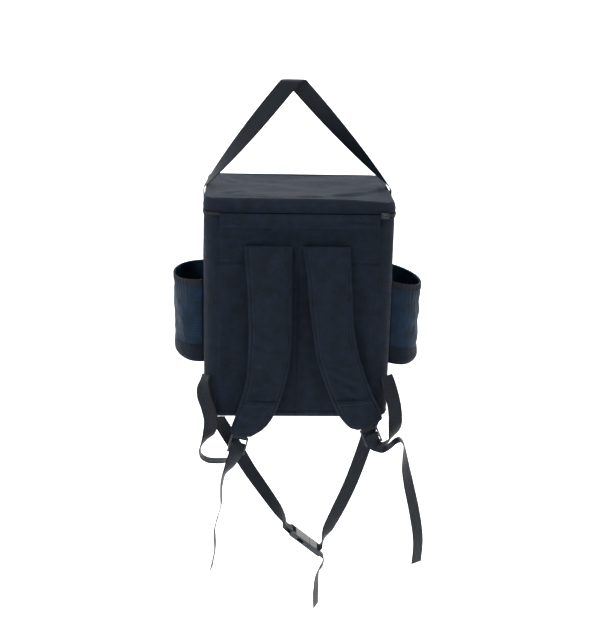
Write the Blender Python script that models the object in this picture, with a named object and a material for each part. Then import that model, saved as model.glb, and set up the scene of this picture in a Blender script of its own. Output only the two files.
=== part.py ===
"""Insulated backpack hanging by its carry strap, seen from the wearer's side.

Metres, +Z up. +X is the viewer's right and the wearer's side faces -Y. The origin is the underside of the
fold at the top of the carry strap, where the bar or hook that holds the bag goes. The pieces hang under an
empty in the middle of the bag, so their own coordinates count from there.
"""

import math

import bmesh
import bpy
import numpy as np

# Gap kept between touching pieces
GAP = 0.0003

# Padded box and lid
WIDTH = 0.330
DEPTH = 0.250
BODY_HEIGHT = 0.3695
LID_HEIGHT = 0.026
LID_SLIT = 0.0025
WALL = 0.006
CORNER_RADIUS = 0.024
BASE_RADIUS = 0.010
LID_RADIUS = 0.007
SIDE_BULGE = 0.003
FACE_BULGE = 0.002
FRONT_BULGE = 0.006
LID_SAG = 0.006
LID_SLUMP = 0.006

# How it hangs
HANG_DROP = 0.187
HANG_SHIFT = 0.011
BAR_RADIUS = 0.004

# Webbing
WEB_WIDTH = 0.025
WEB_THICK = 0.0016
CARRY_WIDTH = 0.030
CARRY_SEWN = 0.110
TAIL_LEFT = 0.247
TAIL_RIGHT = 0.252
TAIL_CENTRE = 0.115
ROOT_HEIGHT = 0.085
LOOP_DROP = 0.083

# Zip and hinge
ZIP_HEIGHT = 0.010
ZIP_THICK = 0.0018
ZIP_ON_FACE = 0.027
SLIDER_LENGTH = 0.014
SLIDER_WIDTH = 0.010
SLIDER_THICK = 0.004
HINGE_HEIGHT = 0.025
HINGE_THICK = 0.0012

# Side pockets
POCKET_HALF = 0.072
POCKET_REACH_LEFT = 0.053
POCKET_REACH_RIGHT = 0.060
POCKET_DROOP_LEFT = 0.003
POCKET_DROOP_RIGHT = 0.015
POCKET_DROP = 0.156
POCKET_HEIGHT = 0.152
POCKET_RADIUS = 0.014
POCKET_CLOTH = 0.0012
FOOT_HEIGHT = 0.030
RIM_HEIGHT = 0.011

# Shoulder pads
PAD_WIDTH = 0.083
PAD_LENGTH = 0.350
PAD_THICK = 0.013
PAD_EDGE = 0.004
PAD_APART = 0.017
PAD_SHIFT = -0.0035
PAD_DROP = 0.0535
PAD_BOW = 0.010
PATCH_THICK = 0.0012

# Ladder locks
LOCK_WIDTH = 0.032
LOCK_RAIL = 0.0030
LOCK_DEPTH = 0.005
LOCK_BAR = 0.003
LOCK_UPPER = 0.0145
LOCK_LOWER = 0.0140
LOCK_REACH = 0.020
LOCK_STAND = 0.0075
LOCK_LEAVE = 0.0095

# Side-release buckle
BUCKLE_WIDTH = 0.033
BUCKLE_THICK = 0.010
FEMALE_LENGTH = 0.042
MALE_LENGTH = 0.029
TONGUE_LENGTH = 0.024
SLOT = 0.0075
BELT_DROP = 0.223
BELT_INSET = 0.011
BELT_LEAN = 0.005
BUCKLE_LEFT = -0.006

# Heights that follow from these
LID_TOP = -HANG_DROP
LID_BOTTOM = LID_TOP - LID_HEIGHT
BODY_TOP = LID_BOTTOM - LID_SLIT
BASE = BODY_TOP - BODY_HEIGHT
HALF_X = WIDTH / 2 - CORNER_RADIUS
HALF_Y = DEPTH / 2 - CORNER_RADIUS
TURN = WEB_THICK / 2 + GAP + LOCK_BAR * 0.72

# Shoulder pad outlines. Each row is one line across the pad: how far down its outer and inner ends lie, as
# shares of the pad's length, and how far out from the pad's own middle, as shares of its width.
OUTER_DOWN, OUTER_OUT, INNER_DOWN, INNER_OUT, STAND_OFF, THICKNESS = range(6)
PAD_LEFT = (
    (0.000, 0.500, 0.000, -0.500, 0.05, 0.55),
    (0.060, 0.485, 0.060, -0.503, 0.10, 0.95),
    (0.140, 0.452, 0.140, -0.506, 0.40, 1.00),
    (0.280, 0.416, 0.280, -0.512, 0.90, 1.00),
    (0.420, 0.390, 0.420, -0.520, 1.00, 1.00),
    (0.550, 0.404, 0.550, -0.500, 1.00, 1.00),
    (0.680, 0.436, 0.680, -0.420, 1.00, 1.00),
    (0.790, 0.545, 0.795, -0.289, 0.95, 1.00),
    (0.885, 0.670, 0.895, -0.120, 0.90, 0.95),
    (0.930, 0.735, 0.955, 0.078, 0.85, 0.85),
    (0.966, 0.775, 0.993, 0.318, 0.80, 0.70),
)
PAD_RIGHT = (
    (0.000, 0.500, 0.000, -0.500, 0.05, 0.55),
    (0.060, 0.515, 0.060, -0.458, 0.10, 0.95),
    (0.140, 0.533, 0.140, -0.400, 0.40, 1.00),
    (0.280, 0.570, 0.280, -0.342, 0.90, 1.00),
    (0.420, 0.625, 0.420, -0.258, 1.00, 1.00),
    (0.550, 0.745, 0.550, -0.175, 1.00, 1.00),
    (0.680, 0.930, 0.680, 0.000, 1.00, 1.00),
    (0.775, 1.095, 0.790, 0.180, 0.95, 1.00),
    (0.845, 1.240, 0.888, 0.392, 0.90, 0.95),
    (0.890, 1.290, 0.938, 0.580, 0.85, 0.85),
    (0.908, 1.200, 0.954, 0.745, 0.80, 0.70),
)

# Routes of the free webbing. Each row is one point, as shares of the piece's own length, and the way that the
# webbing's width points there.
X, Y, Z, ACROSS_X, ACROSS_Y, ACROSS_Z = range(6)
TAIL_LEFT_ROUTE = (
    (-0.059, -0.016, -0.164, 0.75, 0.62, -0.10),
    (-0.103, -0.004, -0.253, 0.30, 0.95, 0.00),
    (-0.119, 0.004, -0.366, 0.12, 0.99, 0.00),
    (-0.119, 0.006, -0.476, 0.10, 0.99, 0.00),
    (-0.148, 0.006, -0.593, 0.16, 0.99, 0.00),
    (-0.168, 0.004, -0.690, 0.10, 0.99, 0.00),
    (-0.164, 0.000, -0.828, 0.10, 0.99, 0.00),
    (-0.192, 0.000, -0.998, 0.20, 0.98, 0.00),
)
TAIL_RIGHT_ROUTE = (
    (0.044, -0.042, -0.067, 0.75, 0.60, 0.28),
    (0.087, -0.068, -0.075, 0.25, 0.95, 0.20),
    (0.131, -0.079, -0.044, 0.00, 1.00, 0.00),
    (0.167, -0.083, -0.008, 0.00, 1.00, 0.00),
    (0.198, -0.083, 0.002, 0.00, 1.00, 0.00),
    (0.222, -0.079, -0.028, 0.05, 0.99, 0.05),
    (0.234, -0.072, -0.107, 0.35, 0.93, 0.10),
    (0.250, -0.052, -0.218, 0.60, 0.78, 0.15),
    (0.278, -0.036, -0.345, 0.72, 0.66, 0.20),
    (0.341, -0.028, -0.611, 0.80, 0.60, 0.20),
    (0.373, -0.028, -0.813, 0.80, 0.60, 0.05),
    (0.369, -0.028, -0.992, 0.80, 0.60, 0.00),
)
LOOP_LEFT_ROUTE = (
    (-0.013, -0.013, 0.941, 0.60, -0.60, 0.50),
    (-0.046, -0.048, 0.835, 0.62, -0.50, 0.60),
    (-0.078, -0.102, 0.694, 0.72, -0.25, 0.62),
    (-0.054, -0.163, 0.506, 0.88, 0.00, 0.45),
    (0.030, -0.211, 0.271, 0.95, 0.00, 0.30),
    (0.090, -0.235, 0.000, 0.99, 0.05, 0.02),
    (0.054, -0.223, -0.277, 0.90, 0.40, -0.05),
    (-0.054, -0.199, -0.494, 0.45, 0.88, 0.00),
    (-0.139, -0.175, -0.687, 0.10, 0.99, 0.00),
    (-0.114, -0.151, -0.855, 0.00, 1.00, 0.00),
    (0.018, -0.127, -0.958, 0.00, 1.00, 0.00),
    (0.187, -0.102, -0.988, 0.00, 1.00, 0.00),
    (0.367, -0.088, -0.988, 0.10, 0.99, 0.00),
    (0.512, -0.072, -0.934, 0.35, 0.93, -0.10),
    (0.590, -0.069, -0.819, 0.75, 0.60, -0.25),
)
LOOP_RIGHT_ROUTE = (
    (0.013, -0.013, 0.941, 0.60, 0.60, 0.50),
    (0.052, -0.048, 0.824, 0.68, 0.45, 0.55),
    (0.102, -0.096, 0.659, 0.78, 0.28, 0.50),
    (0.157, -0.139, 0.459, 0.90, 0.12, 0.35),
    (0.205, -0.175, 0.224, 0.98, 0.05, 0.12),
    (0.223, -0.199, -0.036, 1.00, 0.05, 0.00),
    (0.211, -0.163, -0.253, 0.85, 0.50, 0.00),
    (0.151, -0.114, -0.458, 0.45, 0.88, 0.10),
    (0.042, -0.066, -0.602, 0.15, 0.97, 0.10),
    (-0.090, -0.018, -0.651, 0.30, 0.93, 0.15),
    (-0.175, -0.018, -0.560, 0.65, 0.70, 0.30),
)
BELT_LEFT_ROUTE = (
    (-0.623, -0.018, -0.004, 1.00, 0.00, 0.00),
    (-0.621, 0.004, -0.031, 0.99, 0.00, 0.10),
    (-0.601, 0.025, -0.081, 0.93, 0.00, 0.37),
    (-0.565, 0.027, -0.143, 0.82, 0.10, 0.55),
    (-0.475, 0.026, -0.296, 0.76, 0.30, 0.55),
    (-0.381, 0.019, -0.462, 0.68, 0.50, 0.48),
    (-0.256, 0.005, -0.646, 0.62, 0.62, 0.42),
    (-0.135, -0.013, -0.821, 0.50, 0.80, 0.30),
    (-0.072, -0.022, -0.919, 0.10, 0.99, 0.10),
)
BELT_RIGHT_ROUTE = (
    (0.628, -0.018, -0.004, 1.00, 0.00, 0.00),
    (0.626, 0.004, -0.031, 0.99, 0.00, -0.10),
    (0.612, 0.022, -0.094, 0.96, 0.00, -0.28),
    (0.578, 0.013, -0.233, 0.94, 0.00, -0.33),
    (0.471, 0.004, -0.574, 0.92, 0.05, -0.38),
    (0.377, -0.004, -0.803, 0.90, 0.15, -0.40),
    (0.291, -0.013, -0.991, 0.80, 0.45, -0.35),
    (0.256, -0.022, -1.081, 0.40, 0.90, -0.15),
)
TAIL_CENTRE_ROUTE = (
    (0.070, 0.000, -0.110, 0.00, 1.00, 0.00),
    (0.060, 0.000, -0.240, 0.10, 0.99, 0.00),
    (-0.010, 0.000, -0.370, 0.30, 0.95, 0.00),
    (-0.035, 0.000, -0.700, 0.45, 0.89, 0.00),
    (-0.030, 0.000, -1.000, 0.40, 0.91, 0.00),
)


def clear_scene():
    """Empty the scene, the startup objects included."""
    for item in list(bpy.data.objects):
        bpy.data.objects.remove(item)


def material(name, colour, roughness, metallic=0.0):
    """A Principled material in one colour."""
    made = bpy.data.materials.new(name)
    made.use_nodes = True
    shader = made.node_tree.nodes["Principled BSDF"]
    shader.inputs["Base Color"].default_value = (*colour, 1.0)
    shader.inputs["Roughness"].default_value = roughness
    shader.inputs["Metallic"].default_value = metallic
    return made


def add_piece(name, points, faces, finish, parent):
    """One closed body from points and faces, its faces turned outward."""
    mesh = bpy.data.meshes.new(name)
    mesh.from_pydata([tuple(map(float, point)) for point in points], [], faces)
    work = bmesh.new()
    work.from_mesh(mesh)
    bmesh.ops.recalc_face_normals(work, faces=work.faces)
    work.to_mesh(mesh)
    work.free()
    mesh.shade_smooth()
    mesh.set_sharp_from_angle(angle=math.radians(40))
    mesh.materials.append(finish)
    piece = bpy.data.objects.new(name, mesh)
    bpy.context.scene.collection.objects.link(piece)
    piece.parent = parent
    return piece


def ring_solid(name, rings, finish, parent):
    """A closed body from level rings of equal count, capped flat at the first and the last."""
    count = len(rings[0])
    points = np.concatenate(rings)
    faces = [list(range(count))[::-1]]
    for level in range(len(rings) - 1):
        for k in range(count):
            following = (k + 1) % count
            low = level * count
            high = low + count
            faces.append([low + k, low + following, high + following, high + k])
    last = (len(rings) - 1) * count
    faces.append([last + k for k in range(count)])
    return add_piece(name, points, faces, finish, parent)


def sheet_solid(name, front, back, finish, parent):
    """A closed body between two grids of points, joined round their border.

    Both faces are cut along the same diagonals, so that a thin sheet stays one thickness where it twists.
    """
    rows, columns = front.shape[:2]
    points = np.concatenate([front.reshape(-1, 3), back.reshape(-1, 3)])
    size = rows * columns
    faces = []
    for r in range(rows - 1):
        for column in range(columns - 1):
            corner = r * columns + column
            a, b, c, d = corner, corner + 1, corner + columns + 1, corner + columns
            for half in ([a, b, c], [a, c, d]):
                faces.append(half)
                faces.append([size + index for index in half[::-1]])
    border = [c for c in range(columns)]
    border += [r * columns + columns - 1 for r in range(1, rows)]
    border += [(rows - 1) * columns + c for c in range(columns - 2, -1, -1)]
    border += [r * columns for r in range(rows - 2, 0, -1)]
    for here, there in zip(border, border[1:] + border[:1]):
        faces.append([there, here, size + here, size + there])
    return add_piece(name, points, faces, finish, parent)


def unit(vectors):
    """The same directions at length one."""
    return vectors / np.linalg.norm(vectors, axis=-1, keepdims=True)


def grid_normals(grid):
    """The direction square to a grid of points at each of them: along its columns, crossed with down its rows."""
    down = np.gradient(grid, axis=0)
    along = np.gradient(grid, axis=1)
    return unit(np.cross(along, down))


def cloth(name, grid, thickness, finish, parent, lift=0.0):
    """A closed cloth wall of one thickness round a grid of points, moved along its normals by lift."""
    normals = grid_normals(grid)
    front = grid + normals * (lift + thickness / 2)
    back = grid + normals * (lift - thickness / 2)
    return sheet_solid(name, front, back, finish, parent)


def smooth_rows(rows, steps):
    """A smooth curve through the rows of a table, with steps points from each row to the next.

    It is a centripetal Catmull-Rom curve: its knots lie apart by the square root of the distance between rows,
    counted on the first three columns, so it doesn't swing out beside a short step.
    """
    table = np.array(rows, float)
    ends = np.vstack([2 * table[0] - table[1], table, 2 * table[-1] - table[-2]])
    apart = np.linalg.norm(np.diff(ends[:, X : Z + 1], axis=0), axis=1)
    knots = np.concatenate([[0], np.cumsum(np.sqrt(apart))])
    made = []
    for k in range(len(table) - 1):
        t0, t1, t2, t3 = knots[k : k + 4]
        p0, p1, p2, p3 = ends[k : k + 4]
        for step in range(steps):
            t = t1 + (t2 - t1) * step / steps
            a1 = ((t1 - t) * p0 + (t - t0) * p1) / (t1 - t0)
            a2 = ((t2 - t) * p1 + (t - t1) * p2) / (t2 - t1)
            a3 = ((t3 - t) * p2 + (t - t2) * p3) / (t3 - t2)
            b1 = ((t2 - t) * a1 + (t - t0) * a2) / (t2 - t0)
            b2 = ((t3 - t) * a2 + (t - t1) * a3) / (t3 - t1)
            made.append(((t2 - t) * b1 + (t - t1) * b2) / (t2 - t1))
    made.append(table[-1])
    return np.array(made)


def webbing(name, route, width, steps, finish, parent):
    """A flat strap along a route whose rows hold a point and the way that the strap's width points there."""
    rows = np.array(route, float)
    centre = smooth_rows(rows, steps)[:, X : Z + 1]
    along = np.arange(len(centre)) / steps
    across = [np.interp(along, range(len(rows)), rows[:, k]) for k in (ACROSS_X, ACROSS_Y, ACROSS_Z)]
    across = np.column_stack(across)
    ahead = unit(np.gradient(centre, axis=0))
    across = unit(across - ahead * np.sum(across * ahead, axis=1, keepdims=True))
    square = np.cross(ahead, across)
    grids = []
    for side in (1, -1):
        face = centre + square * side * WEB_THICK / 2
        grids.append(np.stack([face - across * width / 2, face + across * width / 2], axis=1))
    return sheet_solid(name, grids[0], grids[1], finish, parent)


def block_solid(name, cuts, filled, place, finish, parent):
    """A closed body from the filled cells of a box cut by planes in three directions, put in place by a function."""
    counts = [len(cut) - 1 for cut in cuts]
    full = {cell for cell in np.ndindex(*counts) if filled(*cell)}
    index = {}
    faces = []
    steps = ((1, 0, 0), (-1, 0, 0), (0, 1, 0), (0, -1, 0), (0, 0, 1), (0, 0, -1))
    for cell in sorted(full):
        for step in steps:
            if tuple(cell[k] + step[k] for k in range(3)) in full:
                continue
            axis = [k for k in range(3) if step[k]][0]
            level = cell[axis] + (step[axis] > 0)
            others = [k for k in range(3) if k != axis]
            face = []
            for da, db in ((0, 0), (1, 0), (1, 1), (0, 1)):
                corner = [0, 0, 0]
                corner[axis] = level
                corner[others[0]] = cell[others[0]] + da
                corner[others[1]] = cell[others[1]] + db
                face.append(index.setdefault(tuple(corner), len(index)))
            faces.append(face)
    points = [place(*(cuts[k][corner[k]] for k in range(3))) for corner in index]
    return add_piece(name, points, faces, finish, parent)


def plan_ring(inset, height):
    """The bag's rounded plan, anticlockwise from the left end of the wearer's side, as x and y.

    The ring is drawn in by inset. Each side swells most in its middle, halfway up the bag.
    """
    swell = 4 * height * (1 - height)
    sides = (
        (HALF_X, DEPTH / 2, FACE_BULGE, 8),
        (HALF_Y, WIDTH / 2, SIDE_BULGE, 6),
        (HALF_X, DEPTH / 2, FRONT_BULGE, 8),
        (HALF_Y, WIDTH / 2, SIDE_BULGE, 6),
    )
    points = []
    for turn, (half, out, bulge, count) in enumerate(sides):
        local = []
        for k in range(count):
            share = 2 * k / count - 1
            local.append((share * half, -(out - inset + bulge * swell * (1 - share**2))))
        for k in range(4):
            angle = math.pi / 8 * k - math.pi / 2
            radius = CORNER_RADIUS - inset
            local.append((half + radius * math.cos(angle), CORNER_RADIUS - out + radius * math.sin(angle)))
        c, s = math.cos(turn * math.pi / 2), math.sin(turn * math.pi / 2)
        points += [(x * c - y * s, x * s + y * c) for x, y in local]
    return np.array(points)


def height_share(z):
    """How far up the padded box a height lies, from 0 at its base to 1 at its rim."""
    return np.clip((z - BASE) / BODY_HEIGHT, 0, 1)


def near_face(x, z):
    """How far toward the wearer the panel reaches at a place, as y."""
    h = height_share(z)
    across = np.clip(np.abs(x) / HALF_X, 0, 1)
    return -(DEPTH / 2 + FACE_BULGE * 4 * h * (1 - h) * (1 - across**2))


def side_face(z, y=0.0):
    """How far out the side wall reaches at a place, its middle unless y says otherwise."""
    h = height_share(z)
    return WIDTH / 2 + SIDE_BULGE * 4 * h * (1 - h) * (1 - (y / HALF_Y) ** 2)


def level(ring, z):
    """A ring of x and y with a height, one for all points or one for each."""
    heights = np.broadcast_to(z, len(ring))
    return np.column_stack([ring, heights])


def make_body(finish, parent):
    """The padded box: one wall thickness all over, open at the top, with a rounded foot."""
    rings = []
    for degrees in (90, 60, 30, 0):
        angle = math.radians(degrees)
        inset = BASE_RADIUS * (1 - math.cos(angle))
        rings.append(level(plan_ring(inset, 0), BASE + BASE_RADIUS * (1 - math.sin(angle))))
    for share in (0.15, 0.32, 0.5, 0.68, 0.85, 1.0):
        rings.append(level(plan_ring(0, share), BASE + share * BODY_HEIGHT))
    for share in (1.0, 0.85, 0.5, 0.15):
        rings.append(level(plan_ring(WALL, share), BASE + share * BODY_HEIGHT))
    rings.append(level(plan_ring(WALL, 0), BASE + WALL))
    ring_solid("body", rings, finish, parent)


def lid_height(ring):
    """The height of the lid's top: it sags in the middle and slumps at its near right corner."""
    x, y = ring[:, 0] / (WIDTH / 2), ring[:, 1] / (DEPTH / 2)
    sag = LID_SAG * (1 - np.clip(x, -1, 1) ** 2) * (1 - np.clip(y, -1, 1) ** 2)
    corner = np.clip((x - 0.2) / 0.8, 0, 1) ** 2 * np.clip((0.4 - y) / 1.4, 0, 1)
    return LID_TOP - sag - LID_SLUMP * corner


def make_lid(finish, parent):
    """The padded lid: a cap with a rounded edge and a short side wall, hollow below."""
    rim, inner = plan_ring(0, 1), plan_ring(WALL, 1)
    rings = []
    for share in (0.3, 0.62, 0.9, 1.0):
        rings.append(level(inner * share, lid_height(inner * share) - WALL))
    rings.append(level(inner, LID_BOTTOM))
    rings.append(level(rim, LID_BOTTOM))
    edge = lid_height(rim)
    rings.append(level(rim, edge - LID_RADIUS))
    for degrees in (45, 90):
        angle = math.radians(degrees)
        ring = plan_ring(LID_RADIUS * (1 - math.cos(angle)), 1)
        rings.append(level(ring, edge - LID_RADIUS * (1 - math.sin(angle))))
    top = plan_ring(LID_RADIUS, 1)
    for share in (0.9, 0.62, 0.3):
        rings.append(level(top * share, lid_height(top * share)))
    ring_solid("lid", rings, finish, parent)


def zip_path(stand_off):
    """Points outside the seam between lid and body, from the wearer's side round the far side and back."""
    ring = plan_ring(-stand_off, 1)
    start = np.array([[WIDTH / 2 - ZIP_ON_FACE, -DEPTH / 2 - stand_off]])
    end = start * (-1, 1)
    first = 8
    return np.vstack([start, ring[first:], ring[:1], end])


def make_zip(finish, slider_finish, parent):
    """The zip's tape with its slider parked at the right end, on the wearer's side."""
    path = zip_path(GAP + ZIP_THICK / 2)
    middle = LID_BOTTOM - LID_SLIT / 2
    rows = [level(path, middle + side * ZIP_HEIGHT / 2) for side in (1, -1)]
    grid = np.array(rows)
    cloth("zip", grid, ZIP_THICK, finish, parent)
    x = WIDTH / 2 - ZIP_ON_FACE + SLIDER_LENGTH / 2 + GAP
    y = -DEPTH / 2 - 2 * GAP - ZIP_THICK
    cuts = (
        (-SLIDER_LENGTH / 2, -SLIDER_LENGTH / 6, SLIDER_LENGTH / 2),
        (-SLIDER_THICK, -SLIDER_THICK / 2, 0),
        (-0.8 * SLIDER_WIDTH, -SLIDER_WIDTH / 2, SLIDER_WIDTH / 2),
    )

    def filled(i, j, k):
        body = k == 1
        pull = i == 0 and j == 0
        return body or pull

    def place(a, b, c):
        return (x + a, y + b, middle + c)

    block_solid("zip_slider", cuts, filled, place, slider_finish, parent)


def make_hinge(finish, parent):
    """The cloth strip below the lid on the wearer's side, between the two ends of the zip."""
    half = WIDTH / 2 - ZIP_ON_FACE - GAP
    xs = np.linspace(-half, half, 9)
    zs = np.linspace(LID_BOTTOM - GAP, LID_BOTTOM - HINGE_HEIGHT, 4)
    x, z = np.meshgrid(xs, zs)
    y = near_face(x, z) - GAP - HINGE_THICK / 2
    grid = np.stack([x, y, z], axis=2)
    cloth("hinge_band", grid, HINGE_THICK, finish, parent)


def pocket_grid(shape, start, end, rows, lift):
    """Part of a side pocket's cloth, from its floor to its rim.

    start and end are distances up the cloth, where 0 is the floor's edge at the wall. In plan the pocket is a
    rounded D on the side wall, its floor is flat and a quarter round leads up to its wall. The cloth sinks
    away from the wall by the droop. lift moves it outward.
    """
    side, reach, droop = shape
    floor = LID_TOP - POCKET_DROP - POCKET_HEIGHT
    flat = reach - POCKET_RADIUS
    turn = POCKET_RADIUS * math.pi / 2
    angles = np.linspace(-math.pi / 2, math.pi / 2, 15)
    bow = 0.008 + 0.992 * np.maximum(np.cos(angles), 0) ** 0.7
    grid = []
    for along in np.linspace(start, end, rows):
        angle = min(max(along - flat, 0) / POCKET_RADIUS, math.pi / 2)
        out = min(along, flat) + (POCKET_RADIUS + lift) * math.sin(angle)
        z = floor + POCKET_RADIUS - (POCKET_RADIUS + lift) * math.cos(angle) + max(along - flat - turn, 0)
        y = (POCKET_HALF + lift) * np.sin(angles)
        x = side_face(z, y) + GAP + out * bow
        line = [side * x, side * y, z - droop * bow * out / reach]
        grid.append(np.column_stack(line))
    return np.array(grid)


def pocket_cloth(name, shape, start, end, rows, lift, finish, parent):
    """One closed cloth wall of a pocket between two distances up its cloth, lift away from the pocket's own face."""
    front = pocket_grid(shape, start, end, rows, lift + POCKET_CLOTH)
    back = pocket_grid(shape, start, end, rows, lift)
    sheet_solid(name, front, back, finish, parent)


def make_pocket(side, name, reach, droop, mesh_finish, cloth_finish, parent):
    """One open-topped side pocket: mesh wall, solid foot and elastic rim."""
    shape = (side, reach, droop)
    flat = reach - POCKET_RADIUS + POCKET_RADIUS * math.pi / 2
    foot_end = flat + FOOT_HEIGHT - POCKET_RADIUS
    full = flat + POCKET_HEIGHT - POCKET_RADIUS
    pocket_cloth(f"pocket_foot_{name}", shape, 0, foot_end, 7, 0, cloth_finish, parent)
    pocket_cloth(f"pocket_{name}", shape, foot_end + GAP, full, 6, 0, mesh_finish, parent)
    above = POCKET_CLOTH + GAP
    pocket_cloth(f"pocket_rim_{name}", shape, full - RIM_HEIGHT, full, 2, above, cloth_finish, parent)


def pad_rows(side, table, steps):
    """Rows across a pad: outer end, inner end, stand-off from the panel and thickness, all in metres."""
    rows = smooth_rows(table, steps)
    middle = side * (PAD_APART + PAD_WIDTH) / 2 + PAD_SHIFT
    top = BODY_TOP - PAD_DROP
    outer = (middle + side * rows[:, OUTER_OUT] * PAD_WIDTH, top - rows[:, OUTER_DOWN] * PAD_LENGTH)
    inner = (middle + side * rows[:, INNER_OUT] * PAD_WIDTH, top - rows[:, INNER_DOWN] * PAD_LENGTH)
    bow = rows[:, STAND_OFF] * PAD_BOW
    return np.column_stack(outer), np.column_stack(inner), bow, rows[:, THICKNESS] * PAD_THICK


def pad_faces(side, table, steps, columns):
    """The front and back grids of a pad. Its back is nearly flat and its front is domed between thin edges."""
    outer, inner, stand_off, thickness = pad_rows(side, table, steps)
    share = np.linspace(0, 1, columns)
    flat = outer[:, None] * (1 - share[None, :, None]) + inner[:, None] * share[None, :, None]
    dome = 1 - np.abs(2 * share - 1) ** 4
    panel = near_face(flat[..., 0], flat[..., 1])
    back = panel - GAP - stand_off[:, None] - 0.2 * PAD_EDGE * (1 - dome)
    front = back - PAD_EDGE - (thickness[:, None] - PAD_EDGE) * dome
    return (
        np.stack([flat[..., 0], front, flat[..., 1]], axis=2),
        np.stack([flat[..., 0], back, flat[..., 1]], axis=2),
    )


def make_pad(side, name, table, finish, patch_finish, parent):
    """One padded shoulder strap, with the thin patch over the face of its lower end."""
    front, back = pad_faces(side, table, 2, 9)
    sheet_solid(f"pad_{name}", front, back, finish, parent)
    low = front[-7:, 1:-1] - np.array([0, 2 * GAP, 0])
    thin = low - np.array([0, PATCH_THICK, 0])
    sheet_solid(f"pad_patch_{name}", thin, low, patch_finish, parent)


def lock_frame(side, table):
    """Where a ladder lock hangs: its middle bar, its way across and its way up, from the pad's lower end."""
    outer, inner, stand_off, thickness = pad_rows(side, table, 1)
    ends = sorted((outer[-1], inner[-1]), key=lambda end: end[0])
    across = unit(ends[1] - ends[0])
    up = np.array([-across[1], across[0]])
    middle = (ends[0] + ends[1]) / 2 - up * LOCK_REACH
    y = -DEPTH / 2 - GAP - stand_off[-1] - PAD_EDGE / 2 - thickness[-1] / 4
    origin = np.array([middle[0], y, middle[1]])
    return origin, np.array([across[0], 0, across[1]]), np.array([up[0], 0, up[1]])


def in_lock(frame, across, out, up):
    """A point given in a lock's own directions: across it, out toward the viewer and up."""
    origin, sideways, upward = frame
    return origin + sideways * across + np.array([0, -1, 0]) * out + upward * up


def turn_points(centre, start, end, count):
    """Points on an arc round a bar, as out and up, from one angle to another in degrees."""
    for k in range(count):
        angle = math.radians(start + (end - start) * k / (count - 1))
        yield TURN * math.cos(angle), centre + TURN * math.sin(angle)


def make_lock(frame, name, finish, parent):
    """A ladder lock: two rails and three cross bars, the lowest with a thumb lip."""
    half = LOCK_WIDTH / 2
    bar, deep = LOCK_BAR / 2, LOCK_DEPTH / 2
    cuts = (
        (-half, -half + LOCK_RAIL, half - LOCK_RAIL, half),
        (-deep, -bar, bar, deep),
        (-LOCK_LOWER - 2 * bar, -LOCK_LOWER, -bar, bar, LOCK_UPPER - bar, LOCK_UPPER + bar),
    )

    def filled(i, j, k):
        rail = i != 1
        cross = j == 1 and k in (0, 2, 4)
        return rail or cross

    def place(a, b, c):
        return in_lock(frame, a, b, c)

    piece = block_solid(f"lock_{name}", cuts, filled, place, finish, parent)
    bevel = piece.modifiers.new("Soft edges", "BEVEL")
    bevel.width = 0.0004
    bevel.segments = 1


def make_lock_loop(frame, name, finish, parent):
    """The short webbing loop from the pad's end round the lock's top bar."""
    top = LOCK_REACH - 2 * GAP
    sideways = tuple(frame[1])
    route = [(*in_lock(frame, 0, TURN, top), *sideways)]
    for out, up in turn_points(LOCK_UPPER, 0, -180, 7):
        route.append((*in_lock(frame, 0, out, up), *sideways))
    route.append((*in_lock(frame, 0, -TURN, top), *sideways))
    webbing(f"lock_loop_{name}", route, WEB_WIDTH, 1, finish, parent)


def make_web(side, name, table, loop, tail, length, finish, parent):
    """The adjusting webbing: from the bag's side seam, down and round into the lock, then the free tail."""
    frame = lock_frame(side, table)
    sideways = tuple(frame[1])
    corner = np.array([side * (WIDTH / 2 - 0.29 * CORNER_RADIUS), -DEPTH / 2 + 0.29 * CORNER_RADIUS, BASE])
    outward = np.array([side, -1, 0]) * (WEB_THICK / 2 + 2 * GAP)
    route = []
    for row in loop:
        up = ROOT_HEIGHT if row[2] > 0 else LOOP_DROP
        point = corner + outward + np.array(row[:3]) * (LOOP_DROP, LOOP_DROP, up)
        route.append((*point, *row[3:]))
    route.append((*in_lock(frame, 0, -LOCK_STAND, -LOCK_LEAVE), *sideways))
    for out, up in turn_points(0, 150, 30, 5):
        route.append((*in_lock(frame, 0, out, up), *sideways))
    route.append((*in_lock(frame, 0, LOCK_STAND, -LOCK_LEAVE), *sideways))
    for row in tail:
        point = frame[0] + np.array(row[:3]) * length
        route.append((*point, *row[3:]))
    webbing(f"web_{name}", route, WEB_WIDTH, 3, finish, parent)


def buckle_frame():
    """Where the fastened buckle hangs: its left end, its way along and the way square to its broad face."""
    origin = np.array([BUCKLE_LEFT, -DEPTH / 2 + BELT_INSET - BELT_LEAN, BASE - BELT_DROP])
    along = unit(np.array([0.78, 0.0, -0.627]))
    square = np.array([-along[2], 0, along[0]])
    return origin, along, square


def in_buckle(along, across, out):
    """A point given in the buckle's own directions."""
    origin, ahead, square = buckle_frame()
    return origin + ahead * along + np.array([0, 1, 0]) * across + square * out


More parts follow.
